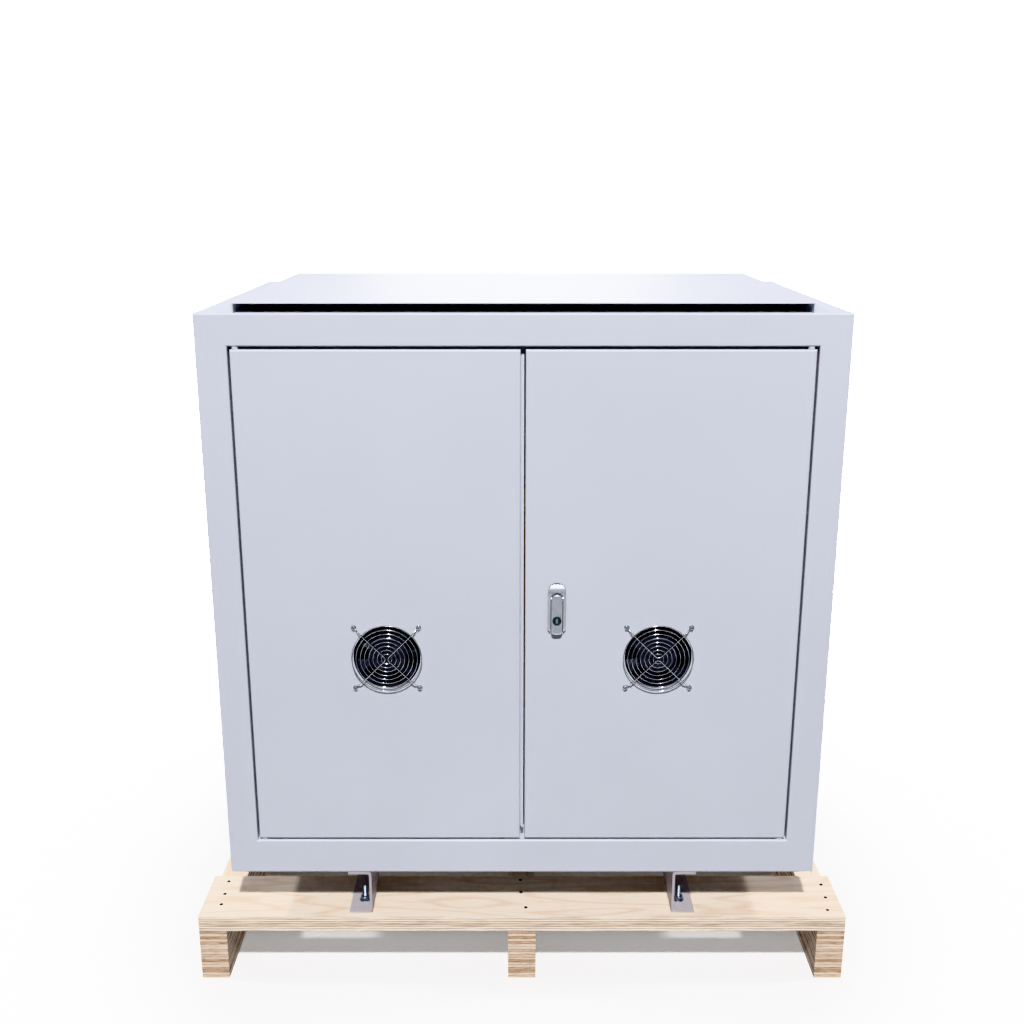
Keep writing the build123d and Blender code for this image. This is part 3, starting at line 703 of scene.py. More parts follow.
# Deck boards: pale faces with flame grain, and light edges with a few dark plies
DECK_WOOD = Plywood(
    "pine_plywood_deck",
    "#E4D7C9",
    "#CEB398",
    edge_pale="#FFF2E2",
    edge_brown="#F0D7BC",
    glue="#6E4B32",
    grain=Across.X,
    base_mm=94.0,
    ply_mm=4.67,
    streak_mm=60.0,
    cross_share=0.4,
    glue_from=(0.46, 0.1),
)
# Bearers: rough-sawn edges, where dark cross plies and torn glue lines stand out
BEARER_WOOD = Plywood(
    "pine_plywood_bearer",
    "#EADBC9",
    "#CFB395",
    edge_pale="#F6E0CB",
    edge_brown="#CCAA8A",
    glue="#4A3223",
    grain=Across.Y,
    ply_mm=5.2,
)
# Passivated zinc on bolts and rods: a dull bluish grey with broad highlights
ZINC_PLATE = Metal("zinc_plated_steel", "#98A3AF", "#7C8896", gloss=(0.36, 0.5), patch_mm=6.0)
# Brighter zinc on the small screws: soft highlights on their crowned heads
SCREW_ZINC = Metal("bright_zinc_screws", "#A2A8AF", "#8C939B", gloss=(0.3, 0.46), patch_mm=4.0, bare=0.6)
# Polished chrome on drawn wire: hard bright lines along each ring
CHROME = Metal(
    "chromed_steel_wire", "#C8CACF", "#B4B7BE", gloss=(0.08, 0.16), patch_mm=14.0, line_depth_mm=0.004
)
# Lacquered die casting round the lever: pale and smooth, with painted shade round its base and in its recess
LOCK_PLATE = Metal(
    "lacquered_zinc_die_casting",
    "#E4E7F0",
    "#DADDE7",
    gloss=(0.3, 0.4),
    patch_mm=16.0,
    bare=0.7,
    painted_shade="#43464C",
    painted_shade_mm=(-305.0, -303.4, -300.0),
)
# Satin die casting of the lever: fine upright brushing that spreads the highlight
LOCK_SATIN = Metal(
    "satin_zinc_die_casting", "#D3D8E2", "#C6CBD5", gloss=(0.36, 0.46), line_mm=(22.0, 0.8), bare=0.75
)
# Face of the key plug, rubbed bright by the key
KEY_PLUG = Metal("worn_key_plug", "#879A9E", "#6D7F83", gloss=(0.36, 0.5), patch_mm=2.0, bare=0.8)
# Blackened key cylinder: a dark green-grey ring round the plug
KEY_STEEL = Metal("blackened_key_cylinder", "#4E6063", "#3C4B4E", gloss=(0.3, 0.42), patch_mm=3.0)
# Blued nail heads: small dark discs in the pale deck
NAIL_STEEL = Metal("blued_nail_steel", "#4A4038", "#2E2722", gloss=(0.42, 0.6), patch_mm=2.5)
# Glass-filled moulding of the fan's frame: near black, dusty, almost without shine
FAN_BLACK = MouldedPlastic("glass_filled_fan_housing", "#2B2C34", "#32333C", index=1.32)
# Blades: the same black with a little more sheen, so that their twist shows
BLADE_BLACK = MouldedPlastic("moulded_fan_blade", "#2C2D37", "#343540", gloss=(0.32, 0.46), index=1.32)
# Pressed insulation board: matt tan with a coarse tooth
BLOCK_BOARD = MouldedPlastic("pressed_insulation_board", "#C9B184", "#B79B6C", grain_mm=3.0, gloss=(0.5, 0.7))
# Varnished core sheets: dull grey with packet lines and mitred joints
CORE_STEEL = CoreSteel("laminated_core_steel", "#6C7077", "#585C63")
# Varnished glass tape: glossy amber brown in lapped bands
COIL_TAPE = TapedCoil("varnished_glass_tape", "#8F5A2C", "#74431E")


def object_from(mesh: bmesh.types.BMesh, name: str) -> bpy.types.Object:
    """Turns a finished mesh under construction into an object at the origin, with its faces turned outwards.

    Args:
        mesh: the mesh, which is freed.
        name: the object's name.

    Returns:
        The new object, linked to the scene.
    """
    bmesh.ops.remove_doubles(mesh, verts=mesh.verts, dist=1e-7)
    bmesh.ops.recalc_face_normals(mesh, faces=mesh.faces)
    data = bpy.data.meshes.new(name)
    mesh.to_mesh(data)
    mesh.free()
    return linked(name, data)


def lathe(mesh: bmesh.types.BMesh, profile: list[tuple[float, float]], segments: int) -> None:
    """Turns a profile about Z into a closed form.

    Args:
        mesh: the mesh that gets the form.
        profile: radius and height pairs in millimetres, from one end of the axis to the other.
        segments: sides of the turned form.
    """
    rings = []
    for radius, height in profile:
        if radius < 1e-6:
            rings.append([mesh.verts.new((0, 0, height * MM))] * segments)
            continue
        ring = []
        for step in range(segments):
            ring.append(mesh.verts.new(round_point(radius, 2 * math.pi * step / segments, height)))
        rings.append(ring)
    for low, high in zip(rings, rings[1:]):
        for step in range(segments):
            after = (step + 1) % segments
            corners = []
            for corner in (low[step], low[after], high[after], high[step]):
                if corner not in corners:
                    corners.append(corner)
            if len(corners) > 2:
                mesh.faces.new(corners)


def smoothed(piece: bpy.types.Object, angle_deg: float = 38.0) -> bpy.types.Object:
    """Shades a piece smooth, apart from edges sharper than an angle.

    Args:
        piece: the piece's object.
        angle_deg: the sharpest edge that is still shaded smooth.

    Returns:
        The same object.
    """
    piece.data.shade_smooth()
    piece.data.set_sharp_from_angle(angle=math.radians(angle_deg))
    return piece


def evaluated(piece: bpy.types.Object, name: str) -> bpy.types.Object:
    """Makes a plain mesh object from what a piece's modifiers give, and removes the piece.

    Args:
        piece: object with modifiers.
        name: name of the plain object.

    Returns:
        The plain object, at the origin.
    """
    graph = bpy.context.evaluated_depsgraph_get()
    data = bpy.data.meshes.new_from_object(piece.evaluated_get(graph))
    piece.modifiers.clear()
    bpy.data.objects.remove(piece)
    data.name = name
    return linked(name, data)


@dataclass
class Pattern:
    """A Geometry Nodes tree with named inputs, run once on a carrier object.

    Attributes:
        name: the tree's name.
        sizes: the tree's number inputs, by name.
    """

    name: str
    sizes: dict[str, float]
    tree: bpy.types.NodeTree = field(init=False)
    sockets: dict[str, Socket] = field(init=False, default_factory=dict)
    identifiers: dict[str, str] = field(init=False, default_factory=dict)

    def __post_init__(self) -> None:
        """Opens the tree and its named inputs."""
        self.tree = bpy.data.node_groups.new(self.name, "GeometryNodeTree")
        self.tree.interface.new_socket("Geometry", in_out="INPUT", socket_type="NodeSocketGeometry")
        for size in self.sizes:
            kind = "NodeSocketInt" if isinstance(self.sizes[size], int) else "NodeSocketFloat"
            made = self.tree.interface.new_socket(size, in_out="INPUT", socket_type=kind)
            self.identifiers[size] = made.identifier
        self.tree.interface.new_socket("Geometry", in_out="OUTPUT", socket_type="NodeSocketGeometry")
        given = add_node(self.tree, "NodeGroupInput").node.outputs
        self.sockets = {socket.name: socket for socket in given if socket.name}

    def close(self, geometry: Socket, finish: Finish) -> None:
        """Ends the tree: instances are made real and get the finish.

        Args:
            geometry: what the tree made.
            finish: the finish that it all gets.
        """
        real = add_node(self.tree, "GeometryNodeRealizeInstances", {0: geometry})
        dressed = add_node(
            self.tree, "GeometryNodeSetMaterial", {"Geometry": real, "Material": finish.material()}
        )
        add_node(self.tree, "NodeGroupOutput", {0: dressed})

    def run(self, start: bpy.types.Object, name: str) -> bpy.types.Object:
        """Runs the tree on a carrier, which is used up.

        Args:
            start: object whose mesh the tree starts from.
            name: name of the finished piece.

        Returns:
            The finished piece as a plain mesh object.
        """
        modifier = start.modifiers.new(self.name, "NODES")
        modifier.node_group = self.tree
        for size, value in self.sizes.items():
            modifier[self.identifiers[size]] = value
        return evaluated(start, name)


def carrier(name: str, places: list[Point], edges: list[tuple[int, int]]) -> bpy.types.Object:
    """Points, and lines between them, that carry repeated pieces or wires.

    Args:
        name: the carrier's name.
        places: the points, in metres.
        edges: pairs of points with a line between them.

    Returns:
        A carrier object with one vertex a place.
    """
    data = bpy.data.meshes.new(name)
    data.from_pydata(places, edges, [])
    return linked(name, data)


def repeated(
    model: bpy.types.Object, places: list[Point], tilt_deg: float, finish: Finish, name: str, seed: int
) -> bpy.types.Object:
    """Sets copies of a fitting on its places, each turned by chance about its own axis.

    Args:
        model: one fitting that stands on the XY plane, used up.
        places: where the copies go, in metres.
        tilt_deg: turn about X that points the fitting's axis outwards.
        finish: the fittings' finish.
        name: name of the finished piece.
        seed: seed of the turns.

    Returns:
        All copies as one plain mesh object.
    """
    pattern = Pattern(f"{name}_pattern", {"Tilt": math.radians(tilt_deg), "Seed": seed})
    tree = pattern.tree
    shape = add_node(tree, "GeometryNodeObjectInfo", {"Object": model, "As Instance": True}, out="Geometry")
    spin = add_node(
        tree,
        "FunctionNodeRandomValue",
        {"Min": (0.0, 0.0, 0.0), "Max": (0.0, 0.0, 2 * math.pi), "Seed": pattern.sockets["Seed"]},
        data_type="FLOAT_VECTOR",
    )
    tilt = add_node(tree, "ShaderNodeCombineXYZ", {0: pattern.sockets["Tilt"]})
    placed = add_node(
        tree,
        "GeometryNodeInstanceOnPoints",
        {"Points": pattern.sockets["Geometry"], "Instance": shape, "Rotation": tilt},
    )
    turned = add_node(
        tree, "GeometryNodeRotateInstances", {"Instances": placed, "Rotation": spin, "Local Space": True}
    )
    pattern.close(turned, finish)
    made = pattern.run(carrier(f"{name}_places", places, []), name)
    bpy.data.objects.remove(model)
    return smoothed(made)


def settle(piece: bpy.types.Object, body: str, slot: str, *replaced: str) -> None:
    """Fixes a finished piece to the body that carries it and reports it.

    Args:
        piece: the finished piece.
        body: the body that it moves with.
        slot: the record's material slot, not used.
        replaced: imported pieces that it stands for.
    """
    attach(piece, body)
    if replaced:
        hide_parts(*replaced)
    LOG.info("%s: on %s, %d faces", piece.name, body, len(piece.data.polygons))


@dataclass
class PanScrew:
    """Pan-head machine screw with a cross recess, its head on the XY plane. Sizes in millimetres."""

    shank_diameter: float = 4.0
    grip: float = 1.9
    head_diameter: float = 6.4
    head_height: float = 2.3
    crown: float = 0.9
    recess_length: float = 3.8
    recess_width: float = 1.0
    recess_depth: float = 1.5
    crown_degrees: tuple[int, ...] = (0, 18, 36, 54, 72)
    crown_fullness: float = 0.7
    sides: int = 28

    def model(self, name: str) -> bpy.types.Object:
        """Turns the head with a short shank and cuts its cross recess.

        Args:
            name: the object's name.

        Returns:
            The screw's object.
        """
        radius = self.head_diameter / 2
        shank = self.shank_diameter / 2
        side = self.head_height - self.crown
        crown = [
            (radius * math.cos(angle) ** self.crown_fullness, side + self.crown * math.sin(angle))
            for angle in map(math.radians, self.crown_degrees)
        ]
        mesh = bmesh.new()
        foot = [(0, -self.grip), (shank, -self.grip), (shank, 0), (radius, 0)]
        lathe(mesh, [*foot, *crown, (0, self.head_height)], self.sides)
        head = object_from(mesh, name)
        cutter_mesh = bmesh.new()
        for turn in (0, math.pi / 2):
            arm = Matrix.Translation((0, 0, self.head_height * MM)) @ Matrix.Rotation(turn, 4, "Z")
            size = (self.recess_length * MM, self.recess_width * MM, 2 * self.recess_depth * MM)
            bmesh.ops.create_cube(cutter_mesh, size=1.0, matrix=arm @ Matrix.Diagonal((*size, 1.0)))
        cutter = object_from(cutter_mesh, f"{name}_recess")
        cut = head.modifiers.new("recess", "BOOLEAN")
        cut.operation, cut.object, cut.solver, cut.use_self = "DIFFERENCE", cutter, "EXACT", True
        made = evaluated(head, name)
        bpy.data.objects.remove(cutter)
        return made


@dataclass
class Nail:
    """Flat nail head punched just below the veneer, in a dish with a crushed rim. Sizes in millimetres."""

    head_diameter: float = 6.4
    rim: float = 0.35
    dish: float = 0.12
    stub: float = 0.2
    sides: int = 20

    def model(self, name: str) -> bpy.types.Object:
        """Turns the head.

        Args:
            name: the object's name.

        Returns:
            The nail head's object, standing on the XY plane.
        """
        radius = self.head_diameter / 2
        mesh = bmesh.new()
        lathe(
            mesh,
            [
                (0, -self.stub),
                (radius, -self.stub),
                (radius, self.rim * 0.5),
                (radius * 0.93, self.rim),
                (radius * 0.72, self.dish),
                (radius * 0.3, self.dish * 0.8),
                (0, self.dish),
            ],
            self.sides,
        )
        return object_from(mesh, name)


@dataclass
class ThreadedBolt:
    """Foot bolt pushed up through the deck, with its washer and hexagon nut. Sizes in millimetres."""

    deck_underside: float = 94.0
    deck_top: float = 122.0
    flange: float = 4.5
    diameter: float = 8.0
    pitch: float = 1.25
    thread_depth: float = 0.62
    projection: float = 21.0
    head_diameter: float = 20.0
    head_height: float = 5.0
    washer_diameter: float = 19.0
    washer_thickness: float = 1.6
    washer_edge: float = 0.25
    nut_across_flats: float = 14.0
    nut_height: float = 6.5
    nut_chamfer: float = 0.7
    thread_end: float = 1.0
    sides: int = 24
    washer_sides: int = 36

    @property
    def seat(self) -> float:
        """Level of the washer's underside."""
        return self.deck_top + self.flange

    @property
    def nut_base(self) -> float:
        """Level of the nut's underside."""
        return self.seat + self.washer_thickness

    @property
    def tip(self) -> float:
        """Level of the bolt's end."""
        return self.nut_base + self.nut_height + self.projection

    def thread(self, mesh: bmesh.types.BMesh, segments: int = 18) -> None:
        """Winds the thread from inside the nut to the bolt's end.

        Args:
            mesh: the mesh that gets the thread.
            segments: steps in a turn.
        """
        crest, root = self.diameter / 2, self.diameter / 2 - self.thread_depth
        start = self.nut_base + self.nut_height - 2 * self.pitch
        end = self.tip - self.thread_end
        turns = math.ceil((end - start) / self.pitch)
        rows = []
        for half in range(2 * turns + 1):
            radius = root if half % 2 else crest
            row = []
            for step in range(segments):
                angle = 2 * math.pi * step / segments
                height = min(start + self.pitch * (half / 2 + step / segments), end)
                row.append(mesh.verts.new(round_point(radius, angle, height)))
            rows.append(row)
        for half in range(len(rows) - 1):
            low, high = rows[half], rows[half + 1]
            for step in range(segments - 1):
                mesh.faces.new((low[step], low[step + 1], high[step + 1], high[step]))
            if half + 3 < len(rows):
                mesh.faces.new((low[-1], rows[half + 2][0], rows[half + 3][0], high[-1]))

    def model(self, name: str) -> bpy.types.Object:
        """Builds the bolt with its head, washer, nut and thread at its own level.

        Args:
            name: the object's name.

        Returns:
            The bolt's object, its axis on Z.
        """
        mesh = bmesh.new()
        shank, core = self.diameter / 2, self.diameter / 2 - self.thread_depth
        head_base = self.deck_underside - self.head_height
        lathe(
            mesh,
            [
                (0, head_base),
                (self.head_diameter * 0.3, head_base + 0.5),
                (self.head_diameter * 0.46, head_base + 2.2),
                (self.head_diameter / 2, self.deck_underside - 1.0),
                (self.head_diameter / 2, self.deck_underside),
                (shank, self.deck_underside),
                (shank, self.seat),
                (core, self.seat),
                (core, self.tip - 0.6),
                (core - 0.7, self.tip),
                (0, self.tip),
            ],
            self.sides,
        )
        washer, edge = self.washer_diameter / 2, self.washer_edge
        lathe(
            mesh,
            [
                (shank, self.seat),
                (washer - edge, self.seat),
                (washer, self.seat + edge),
                (washer, self.nut_base - edge),
                (washer - edge, self.nut_base),
                (shank, self.nut_base),
            ],
            self.washer_sides,
        )
        self.nut(mesh)
        self.thread(mesh)
        return object_from(mesh, name)

    def nut(self, mesh: bmesh.types.BMesh) -> None:
        """Adds the hexagon nut, its corners turned off at both ends.

        Args:
            mesh: the mesh that gets the nut.
        """
        flat = self.nut_across_flats / 2
        turned_off = flat * 0.99
        bore = self.diameter / 2 - self.thread_depth
        levels = (0.0, self.nut_chamfer, self.nut_height - self.nut_chamfer, self.nut_height)
        rings: list[list[bmesh.types.BMVert]] = [[] for _ in levels]
        bores: list[list[bmesh.types.BMVert]] = [[], []]
        angles = [2 * math.pi * step / self.sides for step in range(self.sides)]
        for ring, rise in zip(rings, levels):
            for angle in angles:
                away = abs((angle + math.pi / 6) % (math.pi / 3) - math.pi / 6)
                reach = turned_off if rise in (levels[0], levels[-1]) else flat / math.cos(away)
                ring.append(mesh.verts.new(round_point(reach, angle, self.nut_base + rise)))
        for ring, rise in zip(bores, (levels[0], levels[-1])):
            ring += [mesh.verts.new(round_point(bore, angle, self.nut_base + rise)) for angle in angles]
        wall = [bores[0], *rings, bores[1]]
        for low, high in zip(wall, wall[1:]):
            for step in range(self.sides):
                after = (step + 1) % self.sides
                mesh.faces.new((low[step], low[after], high[after], high[step]))


@dataclass
class Pallet:
    """Three bearers under three deck boards, nailed through. Sizes in millimetres."""

    bearer_places: tuple[float, float, float] = (-536.0, 0.0, 536.0)
    board_places: tuple[float, float, float] = (-249.0, 0.0, 249.0)
    board_width: float = 126.0
    deck_top: float = 122.0
    nail: Nail = field(default_factory=Nail)
    nail_row: float = 0.33
    nail_stray_across: Point = (4.0, -6.0, 3.0)
    nail_stray_along: Point = (2.0, -3.0, 1.0)
    front_nails: tuple[tuple[float, float], ...] = (
        (-528.0, -275.0),
        (-529.0, -243.0),
        (-531.0, -204.0),
        (7.0, -284.0),
        (-1.0, -238.0),
        (-2.0, -199.0),
        (533.0, -292.0),
        (539.0, -254.0),
        (541.0, -214.0),
    )

    def dress(self) -> None:
        """Gives the wood its finishes and drives the nails."""
        DECK_WOOD.dress("pallet_front_board", "pallet_middle_board", "pallet_rear_board")
        BEARER_WOOD.dress("pallet_left_bearer", "pallet_middle_bearer", "pallet_right_bearer")
        places = [(x * MM, y * MM, self.deck_top * MM) for x, y in self.front_nails]
        for board in self.board_places[1:]:
            for row, bearer in enumerate(self.bearer_places):
                for step in (-1, 0, 1):
                    x = bearer + self.nail_stray_across[(row + step) % 3]
                    y = board + step * self.board_width * self.nail_row + self.nail_stray_along[row]
                    places.append((x * MM, y * MM, self.deck_top * MM))
        nails = repeated(self.nail.model("nail_head"), places, 0.0, NAIL_STEEL, "pallet_nails", seed=11)
        settle(nails, "enclosure", "zinc_plate")


@dataclass
class Feet:
    """Channels under the cabinet, each bolted down near its ends. Sizes in millimetres."""

    bolt_across: float = 275.7
    bolt_along: float = 266.0
    bolt: ThreadedBolt = field(default_factory=ThreadedBolt)

    def dress(self) -> None:
        """Paints the channels and fits the bolts with their threads, washers and nuts."""
        FOOT_PAINT.dress("left_foot_channel", "right_foot_channel")
        places = [
            (side * self.bolt_across * MM, end * self.bolt_along * MM, 0.0)
            for side in (-1, 1)
            for end in (-1, 1)
        ]
        model = self.bolt.model("foot_bolt")
        bolts = repeated(model, places, 0.0, ZINC_PLATE, "threaded_foot_bolts", seed=4)
        settle(bolts, "enclosure", "zinc_plate", "foot_bolts")


@dataclass
class Cabinet:
    """Folded sheet enclosure with its frame, panels, roof cover and leaves."""

    painted: tuple[str, ...] = (
        "front_left_stile",
        "front_right_stile",
        "front_top_rail",
        "front_bottom_rail",
        "left_side_panel",
        "right_side_panel",
        "back_panel",
        "roof_cover",
        "roof_spacers",
        "left_door",
        "right_door",
        "left_door_meeting_strip",
        "hinge_pins",
    )

    def dress(self) -> None:
        """Paints the sheet and the pins' collars, and leaves the floor in bare zinc."""
        CABINET_PAINT.dress(*self.painted)
        FLOOR_ZINC.dress("floor_plate")


class Side(Enum):
    """Which leaf a fan sits in: its name, its place across and how far its guard is turned."""

    LEFT = ("left", -1.0, 0.0)
    RIGHT = ("right", 1.0, 90.0)


@dataclass
class Fan:
    """Axial fan in a leaf behind a chromed wire guard held by four screws. Sizes in millimetres."""

    side: Side
    offset: float = 221.0
    level: float = 598.0
    face: float = -300.0
    screw_pitch: float = 105.0
    ring_count: int = 8
    first_radius: float = 8.5
    ring_pitch: float = 6.9
    ring_wire: float = 1.5
    bar_wire: float = 1.9
    standoff: float = 5.0
    bar_bend: float = 6.0
    bar_shoulder: float = 61.0
    eye_radius: float = 3.4
    eye_thickness: float = 2.2
    screw: PanScrew = field(default_factory=PanScrew)

    @property
    def name(self) -> str:
        """The leaf's side in words."""
        return self.side.value[0]

    @property
    def centre(self) -> Vector:
        """Middle of the fan on the leaf's face, in metres."""
        return Vector((self.side.value[1] * self.offset, self.face, self.level)) * MM

    def on_face(self) -> Matrix:
        """Turns guard coordinates (across, up, outwards) into the part's frame."""
        outwards = Matrix(((1, 0, 0, 0), (0, 0, -1, 0), (0, 1, 0, 0), (0, 0, 0, 1)))
        turn = Matrix.Rotation(math.radians(self.side.value[2]), 4, "Z")
        return Matrix.Translation(self.centre) @ outwards @ turn

    def bars(self) -> bpy.types.Object:
        """Draws the centrelines of the two bent bars.

        Returns:
            A carrier for the guard's tree.
        """
        eye = self.screw_pitch / 2
        end = eye - self.eye_radius / math.sqrt(2)
        shoulder = self.bar_shoulder / math.sqrt(2)
        height = self.standoff + (self.ring_wire + self.bar_wire) / 2 - self.ring_wire / 4
        low = self.eye_thickness / 2
        places: list[Point] = []
        edges: list[tuple[int, int]] = []
        for half in (-1, 1):
            first = len(places)
            places += [
                (half * end, end, low),
                (half * shoulder, shoulder, height),
                (0.0, 0.0, height),
                (half * shoulder, -shoulder, height),
                (half * end, -end, low),
            ]
            edges += [(first + step, first + step + 1) for step in range(4)]
        return carrier("guard_bars", [tuple(c * MM for c in place) for place in places], edges)

    def section(self, pattern: Pattern, wire: str, sides: int) -> tuple[Socket, Socket]:
        """Draws a wire's round section.

        Args:
            pattern: the guard's tree.
            wire: name of the input that holds the wire's diameter.
            sides: sides of the section.

        Returns:
            The wire's radius, and its section.
        """
        half = add_node(
            pattern.tree, "ShaderNodeMath", {0: pattern.sockets[wire], 1: 0.5}, operation="MULTIPLY"
        )
        circle = add_node(
            pattern.tree, "GeometryNodeCurvePrimitiveCircle", {"Resolution": sides, "Radius": half}
        )
        return half, circle

    def ring_wires(self, pattern: Pattern) -> Socket:
        """Sets the rings one round the other.

        Args:
            pattern: the guard's tree.

        Returns:
            The rings in round wire.
        """
        tree, given = pattern.tree, pattern.sockets
        index = add_node(tree, "GeometryNodeInputIndex")
        radius = add_node(
            tree,
            "ShaderNodeMath",
            {0: index, 1: given["Ring Pitch"], 2: given["First Radius"]},
            operation="MULTIPLY_ADD",
        )
        lift = add_node(tree, "ShaderNodeCombineXYZ", {2: given["Standoff"]})
        row = add_node(
            tree,
            "GeometryNodeMeshLine",
            {"Count": given["Ring Count"], "Start Location": lift, "Offset": (0.0, 0.0, 0.0)},
        )
        circle = add_node(tree, "GeometryNodeCurvePrimitiveCircle", {"Resolution": 96, "Radius": 1.0})
        rings = add_node(
            tree, "GeometryNodeInstanceOnPoints", {"Points": row, "Instance": circle, "Scale": radius}
        )
        drawn_rings = add_node(tree, "GeometryNodeRealizeInstances", {0: rings})
        _, ring_section = self.section(pattern, "Ring Wire", 10)
        return add_node(
            tree, "GeometryNodeCurveToMesh", {"Curve": drawn_rings, "Profile Curve": ring_section}
        )

    def bar_wires(self, pattern: Pattern, section: Socket) -> Socket:
        """Bends the bars along the carrier's lines.

        Args:
            pattern: the guard's tree.
            section: the wire's section.

        Returns:
            The bars in round wire.
        """
        tree, given = pattern.tree, pattern.sockets
        lines = add_node(tree, "GeometryNodeMeshToCurve", {"Mesh": given["Geometry"]})
        bent = add_node(
            tree,
            "GeometryNodeFilletCurve",
            {"Curve": lines, "Radius": given["Bar Bend"], "Count": 6, "Limit Radius": True},
            mode="POLY",
        )
        return add_node(
            tree, "GeometryNodeCurveToMesh", {"Curve": bent, "Profile Curve": section, "Fill Caps": True}
        )

    def eye_wires(self, pattern: Pattern, half: Socket, section: Socket) -> Socket:
        """Curls an eye at each screw.

        Args:
            pattern: the guard's tree.
            half: the wire's radius, which lifts the eyes off the leaf.
            section: the wire's section.

        Returns:
            The eyes in round wire.
        """
        tree, given = pattern.tree, pattern.sockets
        pitch = given["Screw Pitch"]
        seats = add_node(
            tree,
            "GeometryNodeMeshGrid",
            {"Size X": pitch, "Size Y": pitch, "Vertices X": 2, "Vertices Y": 2},
        )
        loop = add_node(
            tree, "GeometryNodeCurvePrimitiveCircle", {"Resolution": 28, "Radius": given["Eye Radius"]}
        )
        loop_wire = add_node(tree, "GeometryNodeCurveToMesh", {"Curve": loop, "Profile Curve": section})
        eyes = add_node(tree, "GeometryNodeInstanceOnPoints", {"Points": seats, "Instance": loop_wire})
        eye_lift = add_node(tree, "ShaderNodeCombineXYZ", {2: half})
        return add_node(tree, "GeometryNodeTransform", {"Geometry": eyes, "Translation": eye_lift})

    def guard(self) -> bpy.types.Object:
        """Draws the guard's rings, bars and eyes in round wire.

        Returns:
            The guard in place.
        """
        sizes = {
            "First Radius": self.first_radius * MM,
            "Ring Pitch": self.ring_pitch * MM,
            "Ring Count": self.ring_count,
            "Ring Wire": self.ring_wire * MM,
            "Bar Wire": self.bar_wire * MM,
            "Bar Bend": self.bar_bend * MM,
            "Standoff": self.standoff * MM,
            "Screw Pitch": self.screw_pitch * MM,
            "Eye Radius": self.eye_radius * MM,
        }
        pattern = Pattern(f"{self.name}_guard_pattern", sizes)
        rings = self.ring_wires(pattern)
        bar_half, bar_section = self.section(pattern, "Bar Wire", 12)
        bars = self.bar_wires(pattern, bar_section)
        eyes = self.eye_wires(pattern, bar_half, bar_section)
        joined = add_node(pattern.tree, "GeometryNodeJoinGeometry")
        for wires in (rings, bars, eyes):
            pattern.tree.links.new(wires, joined.node.inputs[0])
        pattern.close(joined, CHROME)
        made = pattern.run(self.bars(), f"{self.name}_guard_wires")
        made.data.transform(self.on_face())
        return smoothed(made, angle_deg=60.0)

    def screws(self) -> bpy.types.Object:
        """Sets a screw in each eye of the guard.

        Returns:
            The four screws as one piece.
        """
        half = self.screw_pitch / 2 * MM
        seat = self.centre + Vector((0.0, -self.bar_wire * MM, 0.0))
        places = [
            tuple(seat + Vector((across * half, 0.0, up * half))) for across in (-1, 1) for up in (-1, 1)
        ]
        model, name = self.screw.model(f"{self.name}_guard_screw"), f"{self.name}_guard_screws"
        return repeated(model, places, 90.0, SCREW_ZINC, name, seed=7 + len(self.name))

    def dress(self) -> None:
        """Dresses the housing and impeller and fits the guard and its screws."""
        FAN_BLACK.dress(f"{self.name}_fan_housing")
        BLADE_BLACK.dress(f"{self.name}_fan_impeller")
        leaf = f"{self.name}_leaf"
        settle(self.guard(), leaf, "chromed_wire", f"{self.name}_fan_guard")
        settle(self.screws(), leaf, "zinc_plate")


